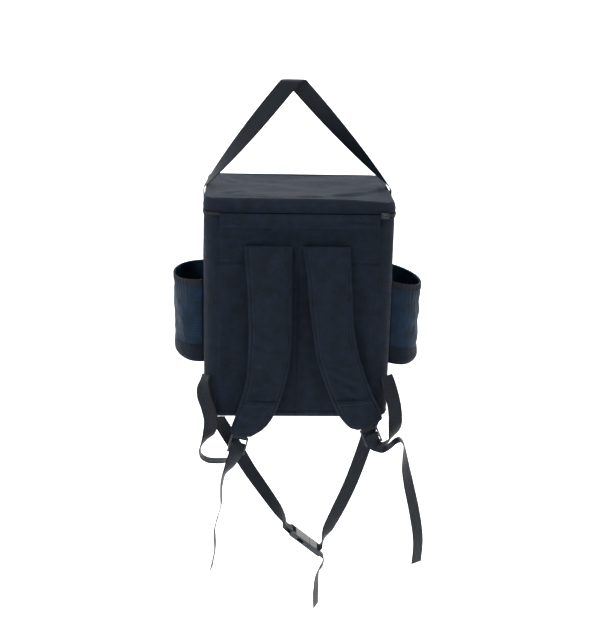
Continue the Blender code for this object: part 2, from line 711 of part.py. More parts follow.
def make_buckle(finish, parent):
    """The two halves of the buckle. The male half's tongue and arms sit inside the female half."""
    half, deep = BUCKLE_WIDTH / 2, BUCKLE_THICK / 2
    bar = LOCK_BAR
    arm, tongue, play = 0.006, 0.004, 0.0004
    room = 0.0022
    mouth = FEMALE_LENGTH
    levels = (-deep, -room, -bar / 2, bar / 2, room, deep)
    female_cuts = (
        (0, bar, bar + SLOT, mouth - TONGUE_LENGTH - play, mouth - 0.012, mouth),
        (-half, -half + LOCK_RAIL, -half + 2 * LOCK_RAIL, half - 2 * LOCK_RAIL, half - LOCK_RAIL, half),
        levels,
    )

    def female_filled(i, j, k):
        middle = 1 <= j <= 3
        inside = 1 <= k <= 3
        if i == 0:
            return k == 2 or not middle
        if i == 1:
            return not middle
        if i == 2:
            return True
        side_window = i == 3 and inside
        cavity = inside and middle
        return not (cavity or side_window)

    male_start = mouth + 2 * GAP
    end = male_start + MALE_LENGTH
    tight = room - play
    rail = LOCK_RAIL + play
    male_cuts = (
        (mouth - TONGUE_LENGTH, male_start, end - bar - SLOT, end - bar, end),
        (-half, -half + rail, -half + rail + arm, -tongue, tongue, half - rail - arm, half - rail, half),
        (-deep, -tight, -bar / 2, bar / 2, tight, deep),
    )

    def male_filled(i, j, k):
        outer = j in (0, 6)
        if i == 0:
            return 1 <= k <= 3 and j in (1, 3, 5)
        if i == 2:
            return outer
        if i == 3:
            return k == 2 or outer
        return True

    block_solid("buckle_female", female_cuts, female_filled, in_buckle, finish, parent)
    block_solid("buckle_male", male_cuts, male_filled, in_buckle, finish, parent)


def belt_root(row):
    """A point of a belt half, from its shares of the belt's drop, counted from the near edge of the base."""
    return np.array([0, -DEPTH / 2 + BELT_INSET, BASE]) + np.array(row[:3]) * BELT_DROP


def make_belts(finish, parent):
    """The waist belt's two halves, each sewn under the base and threaded through its end of the buckle."""
    y_way = (0, 1, 0)
    route = [(*belt_root(row), *row[3:]) for row in BELT_LEFT_ROUTE]
    centre = LOCK_BAR / 2
    route.append((*in_buckle(centre - 0.012, 0, TURN * 0.9), *y_way))
    for degrees in (90, 45, 0, -45, -90):
        angle = math.radians(degrees)
        route.append((*in_buckle(centre + TURN * math.cos(angle), 0, TURN * math.sin(angle)), *y_way))
    route.append((*in_buckle(centre - 0.010, 0, -TURN * 0.8), *y_way))
    route.append((*in_buckle(centre - 0.018, 0, -TURN * 0.5), *y_way))
    webbing("belt_left", route, WEB_WIDTH, 3, finish, parent)
    route = [(*belt_root(row), *row[3:]) for row in BELT_RIGHT_ROUTE]
    bar = FEMALE_LENGTH + 2 * GAP + MALE_LENGTH - LOCK_BAR / 2
    route.append((*in_buckle(bar - TURN, 0, 0.012), *y_way))
    for degrees in (180, 225, 270):
        angle = math.radians(degrees)
        route.append((*in_buckle(bar + TURN * math.cos(angle), 0, TURN * math.sin(angle)), *y_way))
    end = in_buckle(bar, 0, 0)
    for row in TAIL_CENTRE_ROUTE:
        route.append((*(end + np.array(row[:3]) * TAIL_CENTRE), *row[3:]))
    webbing("belt_right", route, WEB_WIDTH, 3, finish, parent)


def fold_points(along, across, slope):
    """Points of a strap folded slantwise over a bar along X.

    The strap is laid flat first: along runs up it from the fold's middle and across its width. Its height on
    the flat sheet is then wound round the bar, and hangs straight down the front and the back past it.
    """
    radius = BAR_RADIUS + WEB_THICK / 2
    quarter = radius * math.pi / 2
    x = along * math.cos(slope) + across * math.sin(slope)
    rise = along * math.sin(slope) - across * math.cos(slope)
    angle = np.clip(rise, -quarter, quarter) / radius + math.pi / 2
    past = np.where(np.abs(rise) > quarter, np.abs(rise) - quarter, 0)
    y = -radius * np.cos(angle)
    z = -BAR_RADIUS + radius * np.sin(angle) - past
    return np.stack([x, y, z], axis=-1)


def strap_half(reach, slope, columns):
    """Rows of half the carry strap, from its sewn end on the side wall up to the middle of the fold.

    reach is how far the wall lies from the fold. The half is drawn to the left, with the fold at the origin.
    """
    off = GAP + WEB_THICK / 2
    past_zip = ZIP_THICK + 2 * GAP + WEB_THICK / 2
    bulge = side_face((BODY_TOP + BASE) / 2) - WIDTH / 2
    middle = LID_BOTTOM - LID_SLIT / 2
    low = middle - ZIP_HEIGHT / 2 - CARRY_SEWN
    route = []
    for share in (0.0, 0.25, 0.5, 0.75, 0.95):
        z = low + CARRY_SEWN * share
        h = height_share(z)
        route.append((-reach - off - bulge * 4 * h * (1 - h) - (past_zip - off) * share**6, 0, z))
    for side in (-1, 1):
        route.append((-reach - past_zip, 0, middle + side * ZIP_HEIGHT / 2))
    centre = (-reach + LID_RADIUS, LID_TOP - LID_RADIUS)
    radius = LID_RADIUS + past_zip
    leave = slope + math.pi / 2
    for share in (0.0, 0.5, 1.0):
        angle = math.pi + (leave - math.pi) * share
        route.append((centre[0] + radius * math.cos(angle), 0, centre[1] + radius * math.sin(angle)))
    half = CARRY_WIDTH / 2
    quarter = (BAR_RADIUS + WEB_THICK / 2) * math.pi / 2
    start = -(quarter + half * math.cos(slope)) / math.sin(slope) - 0.002
    meet = fold_points(np.array(start), np.array(0.0), slope)
    edge = np.array(route[-1])
    across = np.linspace(-half, half, columns)
    wall_way = np.array([0.0, -1.0, 0.0])
    fold_way = np.array([math.sin(slope), 0.0, -math.cos(slope)])
    rows = [np.array(point) + wall_way * across[:, None] for point in route]
    for step in range(1, 12):
        share = step / 12
        turn = math.pi / 2 * share**0.8
        way = wall_way * math.cos(turn) + fold_way * math.sin(turn)
        rows.append(edge + (meet - edge) * share + way * across[:, None])
    for along in np.linspace(start, 0, 10):
        rows.append(fold_points(np.full(columns, along), across, slope))
    return np.array(rows)


def make_carry_strap(finish, parent):
    """One webbing from the left side wall to the right one, folded over at the top. Its halves are each other's
    half turn about the fold, apart from how far their walls lie."""
    slope = math.atan2(HANG_DROP, WIDTH / 2)
    left = strap_half(WIDTH / 2 - HANG_SHIFT, slope, 5)
    right = strap_half(WIDTH / 2 + HANG_SHIFT, slope, 5) * (-1, -1, 1)
    grid = np.concatenate([left[:-1], right[::-1, ::-1]])
    grid = grid + np.array([-HANG_SHIFT, 0, 0])
    cloth("carry_strap", grid, WEB_THICK, finish, parent)


def main():
    clear_scene()
    bag = bpy.data.objects.new("bag", None)
    bag.location = (HANG_SHIFT, 0, 0)
    bpy.context.scene.collection.objects.link(bag)
    woven = material("Woven polyester", (0.012, 0.018, 0.028), 0.85)
    mesh_cloth = material("Mesh cloth", (0.006, 0.020, 0.032), 0.7)
    webbing_cloth = material("Polyester webbing", (0.008, 0.014, 0.024), 0.6)
    plastic = material("Black acetal", (0.03, 0.045, 0.06), 0.3)
    metal = material("Painted zinc", (0.02, 0.022, 0.025), 0.35, 0.6)
    make_body(woven, bag)
    make_lid(woven, bag)
    make_zip(webbing_cloth, metal, bag)
    make_hinge(woven, bag)
    make_pocket(-1, "left", POCKET_REACH_LEFT, POCKET_DROOP_LEFT, mesh_cloth, woven, bag)
    make_pocket(1, "right", POCKET_REACH_RIGHT, POCKET_DROOP_RIGHT, mesh_cloth, woven, bag)
    straps = (
        (-1, "left", PAD_LEFT, LOOP_LEFT_ROUTE, TAIL_LEFT_ROUTE, TAIL_LEFT),
        (1, "right", PAD_RIGHT, LOOP_RIGHT_ROUTE, TAIL_RIGHT_ROUTE, TAIL_RIGHT),
    )
    for side, name, table, loop, tail, length in straps:
        make_pad(side, name, table, woven, woven, bag)
        frame = lock_frame(side, table)
        make_lock(frame, name, plastic, bag)
        make_lock_loop(frame, name, webbing_cloth, bag)
        make_web(side, name, table, loop, tail, length, webbing_cloth, bag)
    make_buckle(plastic, bag)
    make_belts(webbing_cloth, bag)
    make_carry_strap(webbing_cloth, bag)


main()
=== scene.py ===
"""Insulated backpack that hangs by its carry strap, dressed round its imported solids."""

import math

import bpy
import numpy as np
from mathutils import Matrix, Vector


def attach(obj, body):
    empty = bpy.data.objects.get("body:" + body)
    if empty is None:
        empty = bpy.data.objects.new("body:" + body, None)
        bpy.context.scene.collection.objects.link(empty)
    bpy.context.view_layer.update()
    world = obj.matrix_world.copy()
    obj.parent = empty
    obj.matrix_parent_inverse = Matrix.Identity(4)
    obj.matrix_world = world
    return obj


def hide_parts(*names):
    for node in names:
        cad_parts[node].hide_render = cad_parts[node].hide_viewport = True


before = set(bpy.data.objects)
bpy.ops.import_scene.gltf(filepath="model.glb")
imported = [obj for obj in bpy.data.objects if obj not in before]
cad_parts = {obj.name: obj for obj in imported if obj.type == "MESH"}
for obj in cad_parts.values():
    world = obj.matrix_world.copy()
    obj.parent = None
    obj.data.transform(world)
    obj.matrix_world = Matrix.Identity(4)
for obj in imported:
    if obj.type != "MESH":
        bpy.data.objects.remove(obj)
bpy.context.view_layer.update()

# Camera. The photograph was taken from a little above the lid and a little left of the middle, with a long lens.
# The numbers were solved from the corners of the box in the photograph.
CAMERA_PLACE = (-0.082, -2.134, 0.202)
CAMERA_DOWN = math.radians(16.75)
CAMERA_TURN = math.radians(2.9)
CAMERA_ROLL = math.radians(1.3)
CAMERA_LENS = 36 * 1200 / 606

camera = bpy.data.objects.new("camera", bpy.data.cameras.new("camera"))
bpy.context.scene.collection.objects.link(camera)
bpy.context.scene.camera = camera
camera.data.sensor_fit = "HORIZONTAL"
camera.data.sensor_width = 36
camera.data.lens = CAMERA_LENS
ahead = Vector((
    math.sin(CAMERA_TURN) * math.cos(CAMERA_DOWN),
    math.cos(CAMERA_TURN) * math.cos(CAMERA_DOWN),
    -math.sin(CAMERA_DOWN),
))
level_right = Vector((math.cos(CAMERA_TURN), -math.sin(CAMERA_TURN), 0))
level_up = level_right.cross(ahead)
right = math.cos(CAMERA_ROLL) * level_right + math.sin(CAMERA_ROLL) * level_up
up = -math.sin(CAMERA_ROLL) * level_right + math.cos(CAMERA_ROLL) * level_up
camera.matrix_world = Matrix.Translation(CAMERA_PLACE) @ Matrix((right, up, -ahead)).transposed().to_4x4()


# Studio. A pale paper sweep well below and behind the hanging bag, a broad light above the lid and
# two soft ones in front, as in a light tent.
def linear(code):
    """An sRGB hex colour as linear RGB: each channel over 12.92 near black, and to the power 2.4 above."""
    parts = np.array([int(code[k : k + 2], 16) for k in (0, 2, 4)]) / 255
    return tuple(np.where(parts <= 0.04045, parts / 12.92, ((parts + 0.055) / 1.055) ** 2.4))


def grid_faces(rows, columns, closed=False):
    """Quads of a grid, each from a point to the next in its row and the two after them in the next row."""
    wide = columns if closed else columns - 1
    r, c = np.meshgrid(np.arange(rows - 1), np.arange(wide), indexing="ij")
    following = (c + 1) % columns
    quads = [r * columns + c, r * columns + following, (r + 1) * columns + following, (r + 1) * columns + c]
    return np.stack(quads, axis=-1).reshape(-1, 4)


def add_mesh(name, points, faces, finish, uv=None):
    """A smooth mesh object at the origin from points, lists of faces and, for each point, its place in the UV map."""
    mesh = bpy.data.meshes.new(name)
    mesh.from_pydata(np.asarray(points, float).reshape(-1, 3).tolist(), [], [list(map(int, face)) for face in faces])
    if uv is not None:
        corner = np.empty(len(mesh.loops), np.int32)
        mesh.loops.foreach_get("vertex_index", corner)
        layer = mesh.uv_layers.new(name="cloth")
        layer.data.foreach_set("uv", np.asarray(uv, np.float32).reshape(-1, 2)[corner].ravel())
    mesh.shade_smooth()
    mesh.materials.append(finish)
    made = bpy.data.objects.new(name, mesh)
    bpy.context.scene.collection.objects.link(made)
    return made


def add_node(tree, kind, settings=(), links=()):
    """A node of a kind, its properties from settings, and each input from links: a socket to join or a constant."""
    made = tree.nodes.new("ShaderNode" + kind)
    for key, value in dict(settings).items():
        setattr(made, key, value)
    for key, value in dict(links).items():
        if isinstance(value, bpy.types.NodeSocket):
            tree.links.new(value, made.inputs[key])
        else:
            made.inputs[key].default_value = value
    return made


def new_finish(name, settings):
    """A material of one Principled shader, with constants set on its own sockets. Returns it, its tree and shader."""
    made = bpy.data.materials.new(name)
    made.use_nodes = True
    shader = made.node_tree.nodes["Principled BSDF"]
    for key, value in settings.items():
        shader.inputs[key].default_value = value
    return made, made.node_tree, shader


paper, _, _ = new_finish("White background paper", {
    "Base Color": (*linear("F6F6F6"), 1), "Roughness": 0.9,
    "Emission Color": (1, 1, 1, 1), "Emission Strength": 0.55,
})
SWEEP_FLOOR, SWEEP_BACK, SWEEP_RADIUS, SWEEP_HALF, SWEEP_HEIGHT = -1.45, 2.6, 1.2, 5.0, 5.0
bend = np.linspace(0, math.pi / 2, 24)
profile_y = np.concatenate([[-5.0], SWEEP_BACK - SWEEP_RADIUS + SWEEP_RADIUS * np.sin(bend), [SWEEP_BACK]])
profile_z = SWEEP_FLOOR + np.concatenate([[0], SWEEP_RADIUS * (1 - np.cos(bend)), [SWEEP_HEIGHT]])
sweep_x = np.linspace(-SWEEP_HALF, SWEEP_HALF, 3)
sweep = np.stack([
    np.broadcast_to(sweep_x, (len(profile_y), 3)),
    np.broadcast_to(profile_y[:, None], (len(profile_y), 3)),
    np.broadcast_to(profile_z[:, None], (len(profile_y), 3)),
], axis=2)
floor = add_mesh("floor", sweep, grid_faces(len(profile_y), 3), paper)

world = bpy.data.worlds.new("studio")
bpy.context.scene.world = world
world.use_nodes = True
world.node_tree.nodes["Background"].inputs["Color"].default_value = (1, 1, 1, 1)
world.node_tree.nodes["Background"].inputs["Strength"].default_value = 0.50
bpy.context.scene.view_settings.view_transform = "Standard"

LIGHTS = (
    ("top_light", (0.1, 0.35, 2.1), (0.0, 0.0, -0.3), 2.0, 120),
    ("left_light", (-2.4, -2.0, 1.0), (0.0, 0.0, -0.4), 1.2, 60),
    ("right_light", (2.3, -2.2, 0.6), (0.0, 0.0, -0.4), 1.2, 16),
)
for name, place, aim, size, power in LIGHTS:
    lamp = bpy.data.objects.new(name, bpy.data.lights.new(name, "AREA"))
    lamp.data.size = size
    lamp.data.energy = power
    lamp.location = place
    lamp.rotation_euler = (Vector(aim) - Vector(place)).to_track_quat("-Z", "Y").to_euler()
    bpy.context.scene.collection.objects.link(lamp)

# Padded box. Four panels of woven polyester over thin foam, sewn at the corners and foot, with a lining.
# Its wall is one thickness, it swells a little with what the foam holds, and its cloth puckers at the seams.
GAP = 0.0003
SHIFT = 0.011
WIDTH, DEPTH = 0.330, 0.250
BASE, BODY_TOP = -0.585, -0.2155
LID_BOTTOM, LID_TOP = -0.213, -0.187
WALL = 0.006
CORNER = 0.024
FOOT = 0.010
HALF_X, HALF_Y = WIDTH / 2 - CORNER, DEPTH / 2 - CORNER
SWELLS = (0.0020, 0.0030, 0.0060, 0.0030)
BODY_HEIGHT = BODY_TOP - BASE


def plan(count):
    """The bag's rounded plan by arc length, anticlockwise from the left end of the wearer's side.

    Returns for each point x, y, its outward normal, how far along its side it lies from -1 to 1, and the side.
    """
    arc = CORNER * math.pi / 2
    halves = np.array([HALF_X, HALF_Y, HALF_X, HALF_Y])
    lengths = 2 * halves + arc
    starts = np.concatenate([[0], np.cumsum(lengths)])
    s = np.linspace(0, starts[-1], count, endpoint=False)
    side = np.searchsorted(starts, s, side="right") - 1
    local = s - starts[side]
    half = halves[side]
    out = np.where(side % 2 == 0, DEPTH / 2, WIDTH / 2)
    angle = np.clip((local - 2 * half) / CORNER, 0, math.pi / 2)
    x = np.minimum(local - half, half) + CORNER * np.sin(angle)
    y = -out + CORNER * (1 - np.cos(angle))
    nx, ny = np.sin(angle), -np.cos(angle)
    c, t = np.cos(side * math.pi / 2), np.sin(side * math.pi / 2)
    return x * c - y * t, x * t + y * c, nx * c - ny * t, nx * t + ny * c, np.clip((local - half) / half, -1, 1), side


def smooth_step(value, low, high):
    """0 below low, 1 above high and an S between them: three times the square less twice the cube."""
    t = np.clip((value - low) / (high - low), 0, 1)
    return t * t * (3 - 2 * t)


def ripple(a, b, scale, seed, layers=4):
    """Soft cloth unevenness on a surface: sines of random direction and phase, each layer 1.7 times finer."""
    rng = np.random.default_rng(seed)
    total = np.zeros(np.broadcast(a, b).shape)
    weight = 0
    for layer in range(layers):
        for _ in range(3):
            turn, phase = rng.uniform(0, 2 * math.pi, 2)
            wave = 2 * math.pi * 1.7**layer / scale
            total = total + np.sin((a * math.cos(turn) + b * math.sin(turn)) * wave + phase) / 1.6**layer
        weight += 3 / 1.6**layer
    return total / weight * 1.8


def crease(a, b, rows):
    """Folds of cloth. Each row holds a fold's middle, its direction in degrees, half length, half width and height.

    A fold is its height times a bell across it and a flatter bell along it, with a shallow trough on one side.
    """
    total = np.zeros(np.broadcast(a, b).shape)
    for a0, b0, degrees, length, width, height in rows:
        c, s = math.cos(math.radians(degrees)), math.sin(math.radians(degrees))
        along = ((a - a0) * c + (b - b0) * s) / length
        across = (-(a - a0) * s + (b - b0) * c) / width
        bell = np.exp(-(along**4)) * (np.exp(-(across**2)) - 0.45 * np.exp(-((across + 1.6) ** 2)))
        total = total + height * bell
    return total


def groove(distance, width):
    """A sewn seam: a narrow dip with low shoulders where the cloth is drawn in, by distance over width."""
    d = distance / width
    return -np.exp(-(d**2)) + 0.35 * np.exp(-((np.abs(d) - 2.2) ** 2))


# Columns: x in the bag, z, direction, half length, half width, height, all in metres and degrees.
PANEL_FOLDS = (
    (-0.056, -0.252, -140, 0.022, 0.0045, 0.0016),
    (-0.085, -0.262, -152, 0.030, 0.0060, 0.0012),
    (0.040, -0.258, 12, 0.030, 0.0050, 0.0010),
    (0.100, -0.262, 8, 0.030, 0.0060, 0.0008),
    (-0.120, -0.330, 82, 0.060, 0.0120, 0.0012),
    (0.130, -0.350, 95, 0.070, 0.0120, 0.0012),
    (-0.135, -0.450, 86, 0.070, 0.0110, 0.0014),
    (0.128, -0.470, 98, 0.060, 0.0120, 0.0012),
    (-0.100, -0.540, 68, 0.036, 0.0090, 0.0013),
    (0.030, -0.540, 84, 0.040, 0.0120, 0.0010),
    (-0.012, -0.500, 92, 0.070, 0.0150, 0.0010),
    (0.055, -0.560, 30, 0.030, 0.0080, 0.0008),
)
YOKE_DROP = 0.0835
CENTRE_SEAM = -0.002


def wall_relief(x, y, z, share, side):
    """How far the cloth of the box stands out from its even form at each place."""
    s = np.where(side % 2 == 0, x, y)
    relief = 0.0006 * ripple(s + 0.7 * side, z, 0.11, 3) + 0.0003 * ripple(s - side, z, 0.035, 4)
    half = np.where(side % 2 == 0, HALF_X, HALF_Y)
    edge = half * (1 - np.abs(share))
    relief = relief * smooth_step(edge, 0.0, 0.03) + 0.0010 * groove(edge - 0.002, 0.0022)
    front = side == 0
    pleat = 1.7 * crease(x, z, PANEL_FOLDS)
    seam = 0.0018 * groove(x - CENTRE_SEAM, 0.0020)
    past_pads = smooth_step(np.abs(x + 0.003), 0.080, 0.092)
    yoke = 0.0017 * groove(z - (BODY_TOP - YOKE_DROP), 0.0022) * past_pads
    relief = relief + np.where(front & (np.abs(share) < 1), pleat + seam + yoke, 0)
    foot = 0.0010 * groove(z - (BASE + FOOT + 0.004), 0.0022)
    return relief + foot


def body_rings():
    """The box as level rings: from the middle of its base out, up the wall, over the rim and down the inside."""
    x, y, nx, ny, share, side = plan(448)
    swell = np.take(SWELLS, side) * (1 - share**2)
    rings = []

    def add(inset, height, scale=1.0, relief=0.0):
        h = np.clip((height - BASE) / BODY_HEIGHT, 0, 1)
        out = 4 * h * (1 - h) * swell - inset + relief
        rings.append(np.stack([scale * (x + nx * out) + SHIFT, scale * (y + ny * out), np.full(len(x), height)], axis=1))

    for scale in (0.04, 0.3, 0.6, 0.85, 0.97):
        add(FOOT, BASE, scale)
    for degrees in np.linspace(90, 8, 8):
        a = math.radians(degrees)
        add(FOOT * (1 - math.cos(a)), BASE + FOOT * (1 - math.sin(a)))
    for z in np.linspace(BASE + FOOT, BODY_TOP - 0.002, 128):
        add(0, z, relief=wall_relief(x, y, z, share, side) * smooth_step(BODY_TOP - z, 0, 0.006))
    for degrees in (45, 90):
        a = math.radians(degrees)
        add(0.002 * (1 - math.cos(a)), BODY_TOP - 0.002 + 0.002 * math.sin(a))
    for inset in (WALL - 0.001, WALL):
        add(inset, BODY_TOP - 0.001 * (inset == WALL))
    for z in np.linspace(BODY_TOP - 0.01, BASE + WALL + 0.004, 24):
        add(WALL, z)
    for scale in (0.97, 0.85, 0.6, 0.3, 0.04):
        add(WALL + 0.003, BASE + WALL, scale)
    return np.array(rings)


def ring_piece(name, rings, finish, node):
    """A closed skin from level rings, capped at both ends, in place of a CAD node."""
    rows, columns = rings.shape[:2]
    faces = grid_faces(rows, columns, closed=True)
    caps = [np.arange(columns)[::-1], (rows - 1) * columns + np.arange(columns)]
    made = add_mesh(name, rings, [*faces.tolist(), *[cap.tolist() for cap in caps]], finish)
    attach(made, "root")
    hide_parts(node)
    return made


def projected(tree):
    """Two coordinates on the surface from Object coordinates: the two axes that the face is squarest to."""
    place = add_node(tree, "TexCoord").outputs["Object"]
    axes = add_node(tree, "SeparateXYZ", links={"Vector": place})
    normal = add_node(tree, "SeparateXYZ", links={"Vector": add_node(tree, "NewGeometry").outputs["Normal"]})
    size = [add_node(tree, "Math", {"operation": "ABSOLUTE"}, {0: normal.outputs[k]}).outputs[0] for k in range(3)]
    flat = add_node(tree, "Math", {"operation": "GREATER_THAN"}, {0: size[2], 1: 0.62}).outputs[0]
    sideways = add_node(tree, "Math", {"operation": "GREATER_THAN"}, {0: size[0], 1: size[1]}).outputs[0]
    first = add_node(tree, "Mix", {"data_type": "FLOAT"}, {0: sideways, 2: axes.outputs[0], 3: axes.outputs[1]}).outputs[0]
    first = add_node(tree, "Mix", {"data_type": "FLOAT"}, {0: flat, 2: first, 3: axes.outputs[0]}).outputs[0]
    second = add_node(tree, "Mix", {"data_type": "FLOAT"}, {0: flat, 2: axes.outputs[2], 3: axes.outputs[1]}).outputs[0]
    return place, first, second


def threads(tree, coordinate, pitch, shift=0.0):
    """A row of round threads across a coordinate: the sine of a turn for each pitch."""
    turn = add_node(tree, "Math", {"operation": "MULTIPLY_ADD"}, {0: coordinate, 1: 2 * math.pi / pitch, 2: shift})
    return add_node(tree, "Math", {"operation": "SINE"}, {0: turn.outputs[0]}).outputs[0]


def mottled(tree, place, scale, low, high, dark, light, detail=4.0):
    """A colour between two that wanders with noise of a scale per metre."""
    noise = add_node(tree, "TexNoise", links={"Vector": place, "Scale": scale, "Detail": detail, "Roughness": 0.6})
    ramp = add_node(tree, "MapRange", links={"Value": noise.outputs[0], "From Min": low, "From Max": high})
    made = add_node(tree, "Mix", {"data_type": "RGBA"}, {0: ramp.outputs[0], 6: (*linear(dark), 1), 7: (*linear(light), 1)})
    return made.outputs[2]


# Oxford cloth: 600 denier polyester in a two by two basket weave, dyed navy and coated on the back.
# It gives the eye a matt, faintly grainy surface with a soft sheen at grazing angles. The real threads lie
# 0.5 mm apart; they are drawn in bundles 2 mm wide, so that the weave shows at this distance.
oxford, tree, shader = new_finish("Oxford woven polyester", {
    "Roughness": 0.72, "IOR": 1.5, "Specular IOR Level": 0.13, "Sheen Weight": 0.05, "Sheen Roughness": 0.4,
    "Sheen Tint": (*linear("8FA6BC"), 1),
})
place, first, second = projected(tree)
warp, weft = threads(tree, first, 0.0021), threads(tree, second, 0.0021)
weave = add_node(tree, "Math", {"operation": "MULTIPLY"}, {0: warp, 1: weft}).outputs[0]
grain = add_node(tree, "TexNoise", links={"Vector": place, "Scale": 900.0, "Detail": 2.0})
height = add_node(tree, "Math", {"operation": "MULTIPLY_ADD"}, {0: weave, 1: 0.5, 2: grain.outputs[0]}).outputs[0]
cloth_colour = mottled(tree, place, 60.0, 0.35, 0.68, "0A121D", "101B2A")
# Painted shade and highlight: the colour darkens in the weave's hollows and lightens on its crowns, following the
# weave's height. The random grain in that height also varies the tone.
relief_shade = add_node(tree, "MapRange", links={"Value": height, "From Min": 0.1, "From Max": 1.0, "To Min": 0.80, "To Max": 1.15})
relief_shaded_colour = add_node(tree, "Mix", {"data_type": "RGBA", "blend_type": "MULTIPLY"}, {0: 1.0, 6: cloth_colour})
tree.links.new(relief_shade.outputs[0], relief_shaded_colour.inputs[7])
tree.links.new(relief_shaded_colour.outputs[2], shader.inputs["Base Color"])
bump = add_node(tree, "Bump", links={"Height": height, "Distance": 0.0009, "Strength": 0.9})
tree.links.new(bump.outputs[0], shader.inputs["Normal"])

body = ring_piece("body_shell", body_rings(), oxford, "body")

# Lid. A padded cap sewn from a top and a side wall of the same cloth, with a bound edge. Its top sags between the
# strap's ends and slumps at the near right corner, and its side wall has one seam in the middle of the back.
LID_SAG, LID_SLUMP, LID_EDGE = 0.006, 0.006, 0.007
LID_FOLDS = (
    (-0.090, -0.098, 172, 0.060, 0.0075, 0.0022),
    (0.010, -0.095, 178, 0.100, 0.0090, 0.0018),
    (0.060, -0.075, 24, 0.060, 0.0090, 0.0026),
    (0.115, -0.040, 38, 0.040, 0.0080, 0.0018),
    (-0.125, -0.060, 60, 0.030, 0.0080, 0.0018),
    (-0.060, 0.020, 160, 0.060, 0.0200, 0.0014),
    (0.050, 0.060, 15, 0.060, 0.0200, 0.0014),
    (-0.130, 0.070, 110, 0.030, 0.0090, 0.0012),
    (0.130, 0.080, 70, 0.030, 0.0090, 0.0012),
)


def lid_top(x, y):
    """The height of the lid's top: a bowl in the middle, a slumped near right corner and its folds."""
    u, v = x / (WIDTH / 2), y / (DEPTH / 2)
    sag = LID_SAG * (1 - np.clip(u, -1, 1) ** 2) * (1 - np.clip(v, -1, 1) ** 2)
    corner = np.clip((u - 0.2) / 0.8, 0, 1) ** 2 * np.clip((0.4 - v) / 1.4, 0, 1)
    inside = smooth_step(1 - np.abs(u), 0.0, 0.12) * smooth_step(1 - np.abs(v), 0.0, 0.12)
    cloth = crease(x, y, LID_FOLDS) + 0.0008 * ripple(x, y, 0.12, 8) + 0.0003 * ripple(x, y, 0.04, 9)
    return LID_TOP - sag - LID_SLUMP * corner + cloth * inside


def lid_rings():
    """The lid as rings: from the middle of its underside down the inside, round the lip, up and over to its top."""
    x, y, nx, ny, share, side = plan(448)
    s = np.where(side % 2 == 0, x, y)
    rings = []

    def add(inset, z, scale=1.0):
        px, py = scale * (x - nx * inset), scale * (y - ny * inset)
        rings.append(np.stack([px + SHIFT, py, z(px, py) if callable(z) else z + 0 * px], axis=1))

    for scale in (0.04, 0.4, 0.7, 0.9, 1.0):
        add(WALL, lambda px, py: LID_TOP - WALL - 0.0065 + 0 * px, scale)
    for z in np.linspace(LID_TOP - WALL - 0.009, LID_BOTTOM + 0.001, 6):
        add(WALL, z)
    add(WALL - 0.001, LID_BOTTOM)
    add(0.0015, LID_BOTTOM)
    edge = lid_top(x, y)
    pucker = 0.0005 * ripple(s + side, 0.3 * s, 0.05, 11)
    for part in np.linspace(0, 1, 16):
        z = LID_BOTTOM + 0.0015 + (edge - LID_EDGE - LID_BOTTOM - 0.0015) * part
        out = 0.0014 * math.sin(math.pi * part) + pucker * math.sin(math.pi * part)
        out = out + np.where(side == 0, 0.0009 * groove(x - CENTRE_SEAM - 0.006, 0.0016), 0) * math.sin(math.pi * part)
        rings.append(np.stack([x + nx * out + SHIFT, y + ny * out, z], axis=1))
    for degrees in (20, 40, 58, 70, 80, 90):
        a = math.radians(degrees)
        inset = LID_EDGE * (1 - math.cos(a))
        bead = 0.0010 * math.exp(-(((degrees - 55) / 14) ** 2))
        px, py = x - nx * (inset - bead), y - ny * (inset - bead)
        rings.append(np.stack([px + SHIFT, py, edge - LID_EDGE * (1 - math.sin(a)) + bead], axis=1))
    for scale in 1 - np.linspace(0.012, 0.98, 72) ** 1.15:
        dip = 0.0009 * np.exp(-(((1 - scale) - 0.03) / 0.016) ** 2)
        add(LID_EDGE, lambda px, py: lid_top(px, py) - dip, scale)
    return np.array(rings)


lid = ring_piece("lid_cap", lid_rings(), oxford, "lid")


# Zip. A closed coil zip on its tape, round both sides and the far side. Its ends turn on to the wearer's side.
ZIP_ON_FACE = 0.027
ZIP_HEIGHT, ZIP_THICK = 0.010, 0.0018
ZIP_MIDDLE = (LID_BOTTOM + BODY_TOP) / 2


def zip_line(stand_off, count):
    """Points outside the seam at even spacing, from the wearer's side round the far side and back, as x and y."""
    x, y, nx, ny, share, side = plan(1600)
    ring = np.stack([x + nx * stand_off, y + ny * stand_off], axis=1)
    hidden = (side == 0) & (np.abs(x) < WIDTH / 2 - ZIP_ON_FACE)
    first = int(np.argmax((side == 0) & (x >= WIDTH / 2 - ZIP_ON_FACE)))
    ring = np.roll(ring, -first, axis=0)[: int((~hidden).sum())]
    length = np.concatenate([[0], np.cumsum(np.linalg.norm(np.diff(ring, axis=0), axis=1))])
    at = np.linspace(0, length[-1], count)
    return np.stack([np.interp(at, length, ring[:, 0]) + SHIFT, np.interp(at, length, ring[:, 1])], axis=1), length[-1]


def skin(name, front, back, finish, nodes=(), uv=None):
    """A closed piece between two grids of points, joined round their border. It rides on the bag."""
    rows, columns = front.shape[:2]
    size = rows * columns
    faces = grid_faces(rows, columns)
    index = np.arange(size).reshape(rows, columns)
    border = np.concatenate([index[0], index[1:, -1], index[-1, -2::-1], index[-2:0:-1, 0]])
    after = np.roll(border, -1)
    rim = np.stack([after, border, border + size, after + size], axis=1)
    every = np.concatenate([faces, faces[:, ::-1] + size, rim])
    both = None if uv is None else np.concatenate([np.asarray(uv).reshape(-1, 2)] * 2)
    made = add_mesh(name, np.concatenate([front.reshape(-1, 3), back.reshape(-1, 3)]), every, finish, both)
    turn_out(made.data)
    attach(made, "root")
    if nodes:
        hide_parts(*nodes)
    return made


